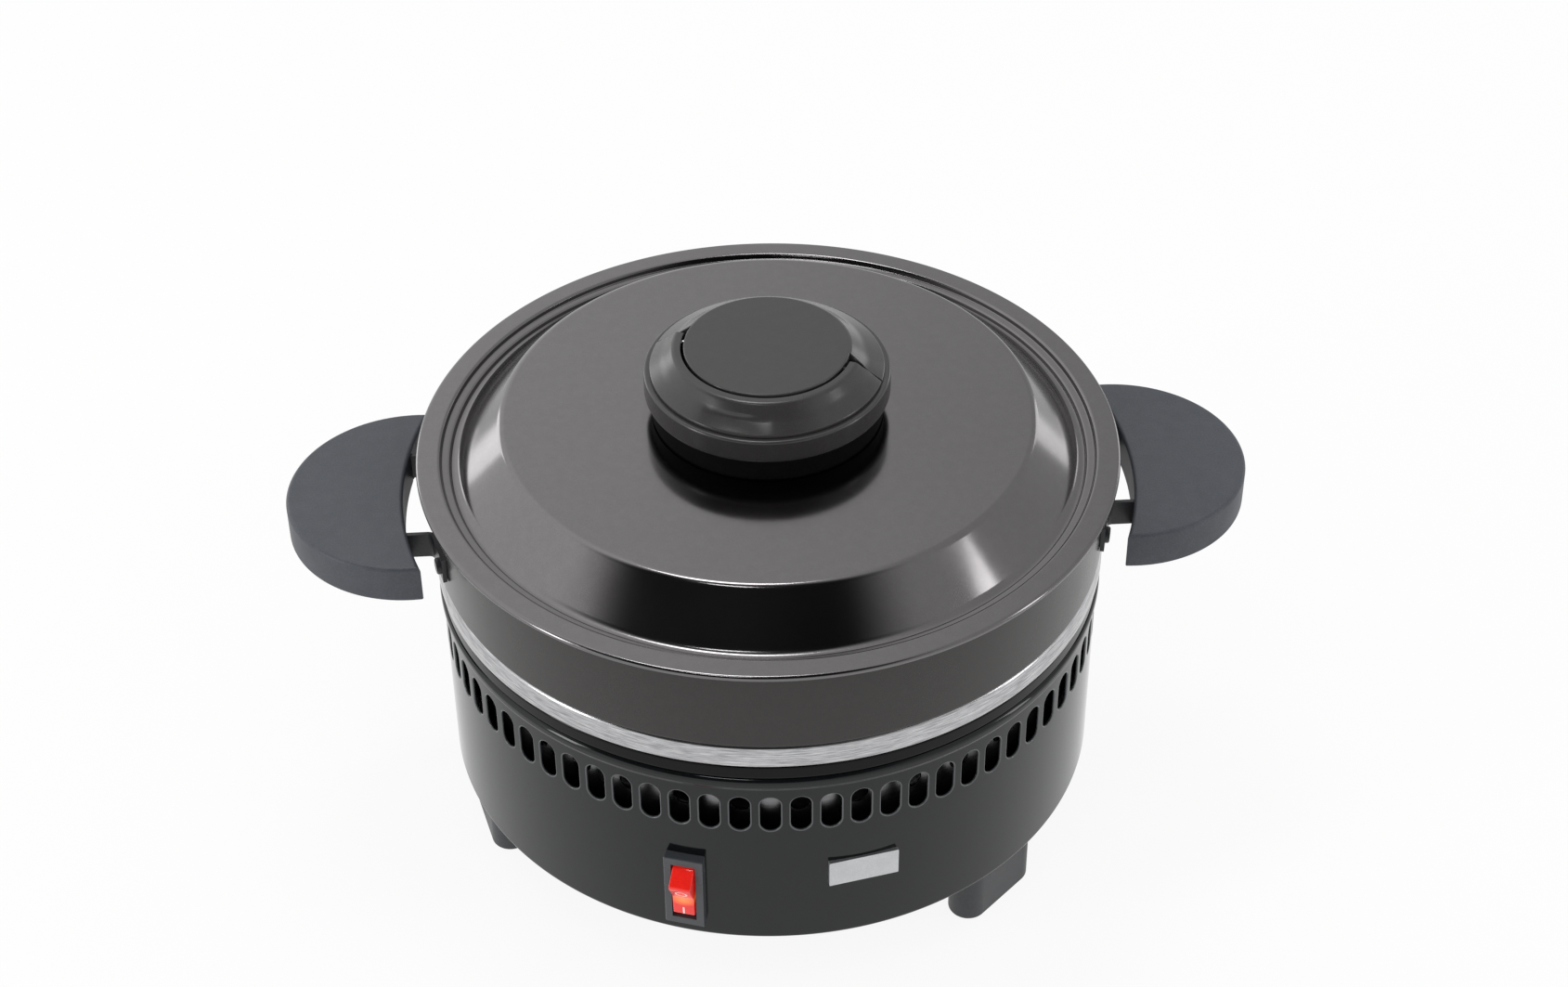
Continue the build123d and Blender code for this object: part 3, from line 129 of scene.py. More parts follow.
def addDistance(tree, a, b):
    # sqrt(a a + b b)
    square = addMath(tree, "ADD", addMath(tree, "MULTIPLY", a, a), addMath(tree, "MULTIPLY", b, b))
    return addMath(tree, "SQRT", square)


def addAxisDistance(tree, vector):
    # distance from the Z axis
    return addVector(tree, "LENGTH", addVector(tree, "MULTIPLY", vector, (1, 1, 0)))


def addRange(tree, value, source, target=(0.0, 1.0), kind="LINEAR"):
    # carries a value from one range into another and holds it at the ends
    inputs = dict(zip(("From Min", "From Max", "To Min", "To Max"), (*source, *target)), Value=value)
    return addNode(tree, "ShaderNodeMapRange", inputs, interpolation_type=kind).outputs["Result"]


def addNoise(tree, vector, scale, detail, roughness=0.5):
    inputs = {"Vector": vector, "Scale": scale, "Detail": detail, "Roughness": roughness}
    return addNode(tree, "ShaderNodeTexNoise", inputs).outputs["Fac"]


def addMix(tree, factor, a, b, kind="RGBA"):
    # a mix of two colours or of two numbers, each a value or a socket
    a, b = ((*end, 1) if isinstance(end, tuple) else end for end in (a, b))
    inputs = {"Factor": factor, "A": a, "B": b}
    return addNode(tree, "ShaderNodeMix", inputs, data_type=kind).outputs["Result"]


def makeGroup(name, inputs, outputs):
    # a node group that reads a vector and the named numbers, and gives the named numbers
    group = bpy.data.node_groups.new(name, "ShaderNodeTree")
    sockets = [("Vector", "INPUT", "NodeSocketVector")]
    sockets += [(label, "INPUT", "NodeSocketFloat") for label in inputs]
    sockets += [(label, "OUTPUT", "NodeSocketFloat") for label in outputs]
    for label, way, kind in sockets:
        group.interface.new_socket(name=label, in_out=way, socket_type=kind)
    return group, addNode(group, "NodeGroupInput").outputs, addNode(group, "NodeGroupOutput")


skins = {
    "grain": {
        "fineDetail": 3.0,
        "coarseDetail": 2.0,
        "coarseScale": 0.12,
        "coarseShare": 0.3,
        "mask": (0.42, 0.62),
    },
    "brush": {"stretch": 0.004, "detail": 4.0, "roughness": 0.65, "mask": (0.35, 0.7)},
    "mottle": {"scale": 25.0, "detail": 5.0, "spread": (0.3, 0.7)},
}


def makeGrainGroup(setup):
    # fine pitted skin: a mix of two noises of different size, as a height and as a mask
    group, entry, leave = makeGroup("fineGrain", ["Scale"], ["Height", "Mask"])
    fine = addNoise(group, entry["Vector"], entry["Scale"], setup["fineDetail"])
    coarseScale = addMath(group, "MULTIPLY", entry["Scale"], setup["coarseScale"])
    coarse = addNoise(group, entry["Vector"], coarseScale, setup["coarseDetail"])
    height = addMix(group, setup["coarseShare"], fine, coarse, "FLOAT")
    feed(leave, {"Height": height, "Mask": addRange(group, height, setup["mask"])})
    return group


def makeBrushGroup(setup):
    # lines turned about Z: noise read at (angle x stretch, radius, height), so it is long round the axis
    group, entry, leave = makeGroup("turnedBrush", ["Scale"], ["Height", "Mask"])
    split = addNode(group, "ShaderNodeSeparateXYZ", {0: entry["Vector"]}).outputs
    along = addMath(group, "MULTIPLY", addMath(group, "ARCTAN2", split["Y"], split["X"]), setup["stretch"])
    radius = addAxisDistance(group, entry["Vector"])
    spot = addNode(group, "ShaderNodeCombineXYZ", {"X": along, "Y": radius, "Z": split["Z"]}).outputs[0]
    height = addNoise(group, spot, entry["Scale"], setup["detail"], setup["roughness"])
    feed(leave, {"Height": height, "Mask": addRange(group, height, setup["mask"])})
    return group


def makeMottleGroup(setup):
    # slow variation of a surface: a soft noise spread between a low and a high value
    group, entry, leave = makeGroup("slowMottle", ["Low", "High"], ["Value"])
    noise = addNoise(group, entry["Vector"], setup["scale"], setup["detail"])
    feed(leave, {"Value": addRange(group, noise, setup["spread"], (entry["Low"], entry["High"]))})
    return group


groups = {
    "grain": makeGrainGroup(skins["grain"]),
    "brush": makeBrushGroup(skins["brush"]),
    "mottle": makeMottleGroup(skins["mottle"]),
}


# materials: colour and its variant are linear, rough is a low and a high value, grain or brush is
# the scale of the skin, and bump is in metres
coatRoughness = 0.08
finishes = {
    "housing_enamel": {
        "colour": (0.0036, 0.0046, 0.005), "variant": (0.005, 0.0061, 0.0066), "rough": (0.07, 0.11),
        "grain": 900.0, "bump": 1e-6, "gloss": 0.34,
    },
    "plate_steel": {
        "colour": (0.1, 0.1, 0.105), "variant": (0.13, 0.13, 0.13), "rough": (0.35, 0.5),
        "grain": 1200.0, "bump": 1e-5, "metal": 0.5,
    },
    "collar_black": {
        "colour": (0.0015, 0.0015, 0.0016), "variant": (0.0025, 0.0025, 0.0027), "rough": (0.04, 0.08),
        "grain": 700.0, "bump": 2e-6, "gloss": 0.14,
    },
    "ring_steel": {
        "colour": (0.26, 0.26, 0.27), "variant": (0.68, 0.68, 0.69), "rough": (0.2, 0.28),
        "brush": 4200.0, "bump": 1.2e-5, "metal": 1.0,
    },
    "shield_steel": {
        "colour": (0.16, 0.16, 0.165), "variant": (0.24, 0.24, 0.245), "rough": (0.2, 0.35),
        "brush": 1500.0, "bump": 1e-5, "metal": 1.0,
    },
    "reflector_aluminium": {
        "colour": (0.72, 0.72, 0.73), "variant": (0.78, 0.78, 0.79), "rough": (0.25, 0.4),
        "brush": 1500.0, "bump": 1e-5, "metal": 1.0,
    },
    "element_tube": {
        "colour": (0.13, 0.12, 0.11), "variant": (0.2, 0.17, 0.15), "rough": (0.45, 0.65),
        "grain": 1400.0, "bump": 2e-5, "metal": 0.8,
    },
    "ceramic": {
        "colour": (0.78, 0.74, 0.66), "variant": (0.84, 0.81, 0.74), "rough": (0.3, 0.45),
        "grain": 1300.0, "bump": 1e-5,
    },
    "block_plastic": {
        "colour": (0.7, 0.68, 0.62), "variant": (0.76, 0.74, 0.68), "rough": (0.4, 0.5),
        "grain": 1600.0, "bump": 1e-5,
    },
    "screw_steel": {
        "colour": (0.56, 0.56, 0.57), "variant": (0.66, 0.66, 0.66), "rough": (0.25, 0.4),
        "grain": 2500.0, "bump": 6e-6, "metal": 1.0,
    },
    "brass_blades": {
        "colour": (0.7, 0.53, 0.26), "variant": (0.78, 0.62, 0.34), "rough": (0.25, 0.4),
        "grain": 2500.0, "bump": 6e-6, "metal": 1.0,
    },
    "wire_sleeve": {
        "colour": (0.42, 0.12, 0.08), "variant": (0.5, 0.17, 0.11), "rough": (0.45, 0.6),
        "grain": 2200.0, "bump": 1e-5,
    },
    "gland_plastic": {
        "colour": (0.022, 0.022, 0.023), "variant": (0.032, 0.032, 0.033), "rough": (0.35, 0.48),
        "grain": 2000.0, "bump": 1e-5,
    },
    "switch_black": {
        "colour": (0.045, 0.05, 0.056), "variant": (0.055, 0.06, 0.066), "rough": (0.22, 0.32),
        "grain": 3000.0, "bump": 4e-6,
    },
    "rocker_red": {
        "colour": (0.62, 0.012, 0.008), "variant": (0.7, 0.02, 0.012), "rough": (0.08, 0.14),
        "grain": 2500.0, "bump": 3e-6, "coat": 0.3,
    },
    "lamp_glass": {
        "colour": (1.0, 0.45, 0.18), "variant": (1.0, 0.55, 0.25), "rough": (0.1, 0.2),
        "grain": 2500.0, "bump": 2e-6,
    },
    "badge_metal": {
        "colour": (0.5, 0.51, 0.52), "variant": (0.58, 0.59, 0.6), "rough": (0.3, 0.42),
        "grain": 2600.0, "bump": 1e-5, "metal": 0.9,
    },
    "foot_plastic": {
        "colour": (0.03, 0.032, 0.035), "variant": (0.04, 0.042, 0.045), "rough": (0.42, 0.55),
        "grain": 2000.0, "bump": 2e-5,
    },
    "pan_coating": {
        "colour": (0.0185, 0.016, 0.015), "variant": (0.0235, 0.0208, 0.0195), "rough": (0.22, 0.3),
        "grain": 2400.0, "bump": 1.2e-5, "gloss": 0.4,
    },
    "strap_steel": {
        "colour": (0.022, 0.023, 0.026), "variant": (0.032, 0.033, 0.036), "rough": (0.3, 0.4),
        "grain": 1500.0, "bump": 8e-6, "gloss": 0.4,
    },
    "grip_plastic": {
        "colour": (0.042, 0.047, 0.058), "variant": (0.056, 0.061, 0.074), "rough": (0.45, 0.58),
        "grain": 1700.0, "bump": 5e-5,
    },
    "lid_enamel": {
        "colour": (0.16, 0.154, 0.157), "variant": (0.175, 0.169, 0.172), "rough": (0.11, 0.16),
        "grain": 2600.0, "bump": 1e-6, "metal": 1.0,
    },
    "knob_plastic": {
        "colour": (0.031, 0.029, 0.029), "variant": (0.037, 0.035, 0.035), "rough": (0.22, 0.28),
        "grain": 2400.0, "bump": 1e-5, "gloss": 0.48,
    },
    "neck_black": {
        "colour": (0.003, 0.003, 0.003), "variant": (0.005, 0.005, 0.005), "rough": (0.6, 0.7),
        "grain": 1800.0, "bump": 1e-5, "gloss": 0.05,
    },
    "seal_rubber": {
        "colour": (0.004, 0.004, 0.004), "variant": (0.006, 0.006, 0.006), "rough": (0.55, 0.7),
        "grain": 1500.0, "bump": 2e-5, "gloss": 0.02,
    },
}


def feedShader(material, inputs):
    # feeds the material's shader and keeps the output to the right of it
    shader, output = (material.node_tree.nodes[name] for name in ("Principled BSDF", "Material Output"))
    feed(shader, inputs)
    output.location.x = shader.location.x + 2 * nodeColumn


def paintOver(material, mask, colour):
    # lays a colour over the shader's own where the mask is 1
    tree = material.node_tree
    under = tree.nodes["Principled BSDF"].inputs["Base Color"].links[0].from_socket
    feedShader(material, {"Base Color": addMix(tree, mask, under, colour)})


def makeFinish(name, look):
    # the skin's mask mixes the two tints and its height makes the bump; the roughness is mottled
    material = bpy.data.materials.new(name)
    material.use_nodes = True
    tree = material.node_tree
    place = addNode(tree, "ShaderNodeTexCoord").outputs["Object"]
    low, high = look["rough"]
    inputs = {"Vector": place, "Low": low, "High": high}
    rough = addNode(tree, "ShaderNodeGroup", inputs, node_tree=groups["mottle"]).outputs["Value"]
    kind = "brush" if "brush" in look else "grain"
    inputs = {"Vector": place, "Scale": look[kind]}
    skin = addNode(tree, "ShaderNodeGroup", inputs, node_tree=groups[kind]).outputs
    bump = addNode(tree, "ShaderNodeBump", {"Height": skin["Height"], "Distance": look["bump"]})
    feedShader(material, {
        "Base Color": addMix(tree, skin["Mask"], look["colour"], look["variant"]),
        "Roughness": rough,
        "Normal": bump.outputs["Normal"],
        "Metallic": look.get("metal", 0.0),
        "Specular IOR Level": look.get("gloss", 0.5),
        "Coat Weight": look.get("coat", 0.0),
        "Coat Roughness": coatRoughness,
    })
    return material


materials = {name: makeFinish(name, look) for name, look in finishes.items()}
for part in frame["record"]["subparts"]:
    nodes[part["node"]].material_slots[0].material = materials[part["material_slot"]]
print("materials:", len(materials))


# surfaces worked out as arrays
def unitRows(rows):
    return rows / np.linalg.norm(rows, axis=-1, keepdims=True)


def smooth(share):
    share = np.clip(share, 0, 1)
    return share * share * (3 - 2 * share)


def roundedLine(corners, closed=False, steps=6, support=0.3):
    # corners are (r, z, bend) in mm; a bend is an arc tangent to both sides, and a point is kept
    # close to each end of every straight run, so that flat faces stay flat in shading
    bends = []
    count = len(corners)
    for index, (r, z, bend) in enumerate(corners):
        corner = np.array((r, z), float)
        if bend <= 0 or (not closed and index in (0, count - 1)):
            bends.append(corner[None])
            continue
        before = unitRows(np.array(corners[index - 1][:2], float) - corner)
        after = unitRows(np.array(corners[(index + 1) % count][:2], float) - corner)
        half = math.acos(float(np.clip(before @ after, -1, 1))) / 2
        middle = corner + unitRows(before + after) * bend / math.sin(half)
        first = corner + before * bend / math.tan(half) - middle
        last = corner + after * bend / math.tan(half) - middle
        swing = math.pi - 2 * half
        t = np.linspace(0, 1, steps + 1)[:, None]
        arc = np.sin((1 - t) * swing) * first + np.sin(t * swing) * last
        bends.append(middle + arc / math.sin(swing))
    if closed:
        bends.append(bends[0][:1])
    line = [bends[0]]
    for run in bends[1:]:
        a, b = line[-1][-1], run[0]
        length = np.linalg.norm(b - a)
        if length > 3 * support:
            step = (b - a) / length * support
            line.append(np.array([a + step, b - step]))
        line.append(run)
    line = np.concatenate(line)
    return (line[:-1] if closed else line) * mm


def sheetSection(corners, sheet, endSteps=5):
    # a sheet's middle line moved half a thickness to both sides, its ends closed by half rounds
    line = roundedLine(corners)
    runs = unitRows(np.diff(line, axis=0))
    along = unitRows(np.concatenate([runs[:1], runs[:-1] + runs[1:], runs[-1:]]))
    side = np.stack([-along[:, 1], along[:, 0]], 1)
    half = sheet / 2 * mm
    turn = np.linspace(0, np.pi, endSteps)[1:-1, None]
    lastEnd = line[-1] + half * (np.cos(turn) * side[-1] + np.sin(turn) * along[-1])
    firstEnd = line[0] - half * (np.cos(turn) * side[0] + np.sin(turn) * along[0])
    return [line + half * side, lastEnd, (line - half * side)[::-1], firstEnd]


def insetLoop(loop, amount, mitreLimit=0.4):
    # a closed line moved to its left by the same amount everywhere, mitred at its corners
    before = unitRows(loop - np.roll(loop, 1, axis=0))
    after = unitRows(np.roll(loop, -1, axis=0) - loop)
    along = unitRows(before + after)
    side = np.stack([-along[:, 1], along[:, 0]], 1)
    return loop + side * amount / np.maximum((along * after).sum(1, keepdims=True), mitreLimit)


def latheGrid(section, count, start=0.0):
    # the section (r, z) carried round Z: (r sin t, -r cos t, z), t from the front towards +X
    turn = np.radians(start + np.linspace(0, 360, count, endpoint=False))[:, None]
    r, z = section[None, :, 0], section[None, :, 1]
    return np.stack([r * np.sin(turn), -r * np.cos(turn), z + 0 * turn], -1)


def slabGrid(outline, levels):
    # a flat outline inset and raised level by level (mm), both ends drawn in to its middle
    middle = outline.mean(0)
    rows = [insetLoop(outline, inset * mm) for inset, height in levels]
    rows = [middle + 0 * rows[0]] + rows + [middle + 0 * rows[-1]]
    heights = [levels[0][1]] + [height for inset, height in levels] + [levels[-1][1]]
    return np.stack([np.column_stack([row, np.full(len(row), z * mm)]) for row, z in zip(rows, heights)])


def roundedLevels(low, high, edge, steps=4, inward=0.6):
    # levels of a slab whose lower and upper edges are quarter rounds
    turn = np.linspace(0, math.pi / 2, steps + 1)
    rise, inset = edge * (1 - np.cos(turn)), edge * (1 - np.sin(turn))
    lower = [(edge + inward, low)] + list(zip(inset, low + rise))
    upper = list(zip(inset[::-1], high - rise[::-1])) + [(edge + inward, high)]
    return lower + upper


def wallPlace(azimuth, radius, z):
    # axes of a spot on a round wall: right, up and outwards as rows, and the spot itself, in metres
    t = math.radians(azimuth)
    out = np.array((math.sin(t), -math.cos(t), 0))
    right = np.array((math.cos(t), math.sin(t), 0))
    return np.array([right, (0, 0, 1), out]), out * radius * mm + np.array((0, 0, z * mm))


def gridFaces(shape, wrapRows, wrapColumns, offset):
    # the four corners of every cell of a grid, closed on itself where it wraps
    index = np.arange(shape[0] * shape[1]).reshape(shape[:2]) + offset
    if wrapRows:
        index = np.concatenate([index, index[:1]])
    if wrapColumns:
        index = np.concatenate([index, index[:, :1]], 1)
    corners = [index[:-1, :-1], index[1:, :-1], index[1:, 1:], index[:-1, 1:]]
    return np.stack(corners, -1).reshape(-1, 4)


def makePiece(name, grids, slot, body, replaced, plates=(), sharp=38.0, weld=2e-6):
    # each grid is (points, closed over its rows, closed over its columns), each plate is (points,
    # triangles); seams and poles are welded
    points = [grid.reshape(-1, 3) for grid, wrapRows, wrapColumns in grids]
    points += [spots for spots, cells in plates]
    faces = []
    offset = 0
    for grid, wrapRows, wrapColumns in grids:
        faces.append(gridFaces(grid.shape, wrapRows, wrapColumns, offset))
        offset += grid.shape[0] * grid.shape[1]
    faces = np.concatenate(faces).tolist()
    for spots, cells in plates:
        faces += (cells + offset).tolist()
        offset += len(spots)
    data = bpy.data.meshes.new(name)
    data.from_pydata(np.concatenate(points).tolist(), [], faces)
    shape = bmesh.new()
    shape.from_mesh(data)
    bmesh.ops.remove_doubles(shape, verts=shape.verts, dist=weld)
    bmesh.ops.dissolve_degenerate(shape, edges=shape.edges, dist=weld / 2)
    bmesh.ops.recalc_face_normals(shape, faces=shape.faces)
    shape.to_mesh(data)
    shape.free()
    data.shade_smooth()
    data.set_sharp_from_angle(angle=math.radians(sharp))
    data.materials.append(materials[slot])
    piece = bpy.data.objects.new(name, data)
    bpy.context.scene.collection.objects.link(piece)
    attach(piece, body)
    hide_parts(*replaced)


# housing: wall with 72 slots, hem below, bead above, tabs that carry the base plate
housing = {
    "bottom": 26.0,
    "top": 102.3,
    "radius": 117.0,
    "sheet": 0.8,
    "hemWidth": 4.0,
    "hemBend": 1.2,
    "beadProud": 0.9,
    "beadHeight": 4.0,
    "beadBlend": 0.7,
    "beadLead": 0.5,
    "beadBend": 1.5,
    "beadRootBend": 1.0,
    "flange": 7.5,
    "slots": 72,
    "slotTurn": -3.4,
    "slotWidth": 6.9,
    "slotLength": 15.2,
    "slotMiddle": 86.0,
    "slotEdge": 0.5,
    "edgeSteps": 5,
    "slotLand": 0.15,
    "ringShares": (0.55, 0.2),
    "innerEdge": 0.1,
    "innerLand": 0.5,
    # painted highlight along the slot edges: its colour, and the widths over which it fades
    "slotHighlightColour": (0.10, 0.107, 0.11),
    "slotHighlightFade": (0.7, 0.2),
    "bandHeight": 18.4,
    "acrossCell": 8,
    "upCell": 14,
    "tabs": (104.4, -15.6, -135.6),
    "tabWidth": 14.0,
    "tabReach": 13.0,
    "tabLift": 0.02,
}


def obroundHits(direction, width, straight):
    # where rays from the middle of an obround meet its edge, and the normals there
    across, up = direction[:, 0], direction[:, 1]
    radius = width / 2
    flatReach = radius / np.maximum(np.abs(across), 1e-9)
    roundReach = np.abs(up) * straight + np.sqrt(np.maximum(radius**2 - (across * straight) ** 2, 0))
    reach = np.where(np.abs(up) * flatReach <= straight, flatReach, roundReach)
    hit = direction * reach[:, None]
    centre = np.stack([0 * across, np.clip(hit[:, 1], -straight, straight)], 1)
    return hit, unitRows(hit - centre)


def slotCells(setup):
    # every slot has its own cell of the wall: rings run from the cell's border to the slot's edge,
    # round it by a quarter turn, pass through the sheet and go back out to the border inside
    radius, sheet, edge = setup["radius"], setup["sheet"], setup["slotEdge"]
    cell = 2 * np.pi / setup["slots"]
    across = np.linspace(-1, 1, setup["acrossCell"] + 1)[:-1]
    upwards = np.linspace(-1, 1, setup["upCell"] + 1)[:-1]
    border = np.concatenate([
        np.stack([across, 0 * across - 1], 1),
        np.stack([0 * upwards + 1, upwards], 1),
        np.stack([-across, 0 * across + 1], 1),
        np.stack([0 * upwards - 1, -upwards], 1),
    ]) * (radius * cell / 2, setup["bandHeight"] / 2)
    straight = (setup["slotLength"] - setup["slotWidth"]) / 2
    hit, out = obroundHits(unitRows(border), setup["slotWidth"], straight)
    rim = hit + out * (edge + setup["slotLand"])
    rings = [(border, 0.0)]
    rings += [(rim * (1 - share) + border * share, 0.0) for share in setup["ringShares"]]
    rings += [(rim, 0.0)]
    for turn in np.linspace(0, math.pi / 2, setup["edgeSteps"]):
        rings.append((hit + out * edge * (1 - math.sin(turn)), edge * (1 - math.cos(turn))))
    inner, land = setup["innerEdge"], setup["innerLand"]
    rings += [(hit, sheet - inner), (hit + out * inner, sheet), (hit + out * land, sheet), (border, sheet)]
    flat = np.stack([ring for ring, depth in rings])
    depth = np.array([depth for ring, depth in rings])[:, None]
    turn = math.radians(setup["slotTurn"]) + cell * np.arange(setup["slots"])[:, None, None]
    angle = turn + flat[None, :, :, 0] / radius
    far = radius - depth[None]
    height = setup["slotMiddle"] + flat[None, :, :, 1] + 0 * angle
    return np.stack([far * np.sin(angle), -far * np.cos(angle), height], -1) * mm


def makeHousing(setup):
    grids = [(cell, False, True) for cell in slotCells(setup)]
    radius, sheet = setup["radius"], setup["sheet"]
    middle = radius - sheet / 2
    bead = middle + setup["beadProud"]
    hem = setup["bottom"] + sheet / 2
    beadTop = setup["top"] - sheet / 2
    beadRoot = setup["top"] - setup["beadHeight"]
    low = setup["slotMiddle"] - setup["bandHeight"] / 2
    high = setup["slotMiddle"] + setup["bandHeight"] / 2
    count = setup["slots"] * setup["acrossCell"]
    start = setup["slotTurn"] - 180 / setup["slots"]
    outer, lastEnd, inner, firstEnd = sheetSection(
        [(radius - setup["hemWidth"], hem, 0), (middle, hem, setup["hemBend"]), (middle, low, 0)], sheet
    )
    grids.append((latheGrid(np.concatenate([inner, firstEnd, outer]), count, start), True, False))
    outer, lastEnd, inner, firstEnd = sheetSection(
        [
            (middle, high, 0),
            (middle, beadRoot - setup["beadBlend"], setup["beadBend"]),
            (bead, beadRoot + setup["beadLead"], setup["beadRootBend"]),
            (bead, beadTop, setup["beadBend"]),
            (bead - setup["flange"], beadTop, 0),
        ],
        sheet,
    )
    grids.append((latheGrid(np.concatenate([outer, lastEnd, inner]), count, start), True, False))
    for azimuth in setup["tabs"]:
        axes, spot = wallPlace(azimuth, radius - setup["tabReach"] / 2 - sheet, setup["bottom"])
        wide, long = setup["tabWidth"] / 2, setup["tabReach"] / 2 - sheet
        outline = np.array([(-wide, -long), (wide, -long), (wide, long), (-wide, long)]) * mm
        slab = slabGrid(outline, [(0, setup["tabLift"]), (0, sheet)])
        grids.append((slab @ axes[[0, 2, 1]] + spot, False, True))
    makePiece("housingShell", grids, "housing_enamel", "base", ["housing_shell"])


def paintSlotEdgeHighlight(setup):
    # painted highlight: a lighter colour along the slots' edges, where light catches them; a mask from
    # the distance to the nearest slot's outline, found from the angle within its cell and the height over
    # its middle
    material = materials["housing_enamel"]
    tree = material.node_tree
    calc = partial(addMath, tree)
    place = addNode(tree, "ShaderNodeTexCoord").outputs["Object"]
    split = addNode(tree, "ShaderNodeSeparateXYZ", {0: place}).outputs
    cell = 2 * math.pi / setup["slots"]
    angle = calc("ARCTAN2", split["X"], calc("MULTIPLY", split["Y"], -1.0))
    cells = calc("ADD", calc("DIVIDE", angle, cell), 0.5 - setup["slotTurn"] * setup["slots"] / 360)
    phase = calc("SUBTRACT", calc("FRACT", cells), 0.5)
    across = calc("MULTIPLY", phase, cell * setup["radius"])
    height = calc("SUBTRACT", split["Z"], setup["slotMiddle"] * mm)
    height = calc("ABSOLUTE", calc("MULTIPLY", height, 1 / mm))
    straight = (setup["slotLength"] - setup["slotWidth"]) / 2
    over = calc("MAXIMUM", calc("SUBTRACT", height, straight), 0.0)
    middle = (setup["slotWidth"] + setup["slotEdge"]) / 2
    far = calc("ABSOLUTE", calc("SUBTRACT", addDistance(tree, across, over), middle))
    fade = [setup["slotEdge"] * share for share in setup["slotHighlightFade"]]
    # paints the highlight colour over the enamel along each slot's edge
    paintOver(material, addRange(tree, far, fade, kind="SMOOTHSTEP"), setup["slotHighlightColour"])


makeHousing(housing)
# painted highlight along the slot edges
paintSlotEdgeHighlight(housing)
print("housing made")


# collar and brushed ring between the housing and the pan
trims = {
    "collarOuter": 117.2,
    "collarInner": 109.0,
    "collarEdge": 1.0,
    "collarInnerEdge": 0.2,
    "collarTop": 108.1,
    "ringMiddle": 117.5,
    "ringSheet": 1.0,
    "ringFlange": 6.5,
    "ringBand": 4.5,
    "ringMouth": 113.0,
    "ringSetback": 0.8,
    "ringTop": 116.9,
    "ringEdgeBend": 1.0,
    "ringWaistBend": 3.0,
    "segments": 360,
}


def makeTrims(setup):
    low, high, edge = housing["top"], setup["collarTop"], setup["collarEdge"]
    inner, outer, innerEdge = setup["collarInner"], setup["collarOuter"], setup["collarInnerEdge"]
    section = roundedLine(
        [(inner, low, innerEdge), (outer, low, edge), (outer, high, edge), (inner, high, innerEdge)],
        closed=True,
    )
    collar = latheGrid(section, setup["segments"])
    makePiece("collarBand", [(collar, True, True)], "collar_black", "base", ["insulating_collar"])
    sheet, middle, bend = setup["ringSheet"], setup["ringMiddle"], setup["ringEdgeBend"]
    seat, top = high + sheet / 2, setup["ringTop"] - sheet / 2
    section = sheetSection(
        [
            (middle - setup["ringFlange"], seat, 0),
            (middle, seat, bend),
            (middle, high + setup["ringBand"], setup["ringWaistBend"]),
            (middle - setup["ringSetback"], top, bend),
            (setup["ringMouth"], top, 0),
        ],
        sheet,
    )
    ring = latheGrid(np.concatenate(section), setup["segments"])
    makePiece("brushedRing", [(ring, True, True)], "ring_steel", "base", ["steel_ring"])


makeTrims(trims)
print("collar and ring made")


# lid: one spun sheet from its curled edge over two ledges and the flank to the crown
lid = {
    "sheet": 0.8,
    "line": [
        (121.6, 150.6, 0), (121.6, 151.5, 0.7), (114.0, 151.8, 0.8), (113.3, 150.1, 0.8),
        (110.7, 149.9, 0.6), (110.0, 148.5, 0.6), (107.5, 148.3, 4.0), (91.9, 164.3, 3.0),
        (43.0, 165.5, 100.0), (0.0, 165.5, 0),
    ],
    "segments": 480,
}


def makeLid(setup):
    # the section is open at the axis, where each face ends in a pole of its own
    outer, lastEnd, inner, firstEnd = sheetSection(setup["line"], setup["sheet"])
    section = np.concatenate([inner, firstEnd, outer])
    section[:, 0] = np.maximum(section[:, 0], 0)
    grid = latheGrid(section, setup["segments"])
    makePiece("lidShell", [(grid, True, False)], "lid_enamel", "lid", ["lid_shell"])


makeLid(lid)
print("lid made")


# knob: open ring, cap with a skirt behind, hinged flap with a finger scoop in front
knob = {
    "yaw": -20.4,
    "segments": 240,
    "bottom": 174.3,
    "ringTop": 183.3,
    "ringRadius": 42.2,
    "ringWall": 3.8,
    "ringFoot": 1.6,
    "ringEdge": 0.9,
    "ringInnerEdge": 0.3,
    "floorBend": 1.0,
    "floorTop": 176.5,
    "top": 192.5,
    "capRadius": 28.4,
    "capThickness": 2.2,
    "capEdge": 0.5,
    "coreRadius": 27.0,
    "skirtRadius": 40.1,
    "skirtWall": 2.0,
    "skirtStart": 0.9,
    "skirtColumns": 160,
    "hollow": 0.55,
    "lip": 1.0,
    "lipBend": 0.6,
    "innerLip": 0.7,
    "skirtSlope": {"shoulder": 2.4, "inward": 0.5, "bend": 14.0, "wall": (1.2, 1.6), "innerBend": 10.0},
    "flapSlope": {"shoulder": 2.2, "inward": 0.4, "bend": 12.0, "wall": (1.3, 1.5), "innerBend": 8.0},
    "flapInner": 29.3,
    "flapTop": 192.1,
    "flapBottom": 183.6,
    "flapEdge": 0.3,
    "flapSteps": 8,
    "flapColumns": 200,
    "landRadius": 32.2,
    "landWall": 0.6,
    "innerGap": 0.2,
    "endBevel": 0.25,
    "skirtCut": (3.2, 2.0),
    "flapCut": (-0.6, 1.2),
    "cutBlend": (32.5, 36.0),
    "scoopReach": 14.0,
    "scoopDepth": 1.25,
    "scoopHeights": (184.2, 189.4),
    "scoopStart": 0.02,
    "pivotHeight": 187.3,
    "noseRadius": 1.6,
    "noseTail": 3.5,
    "noseEdge": 0.3,
    "noseSteps": 13,
    "noseSpan": (30.2, 33.6),
}


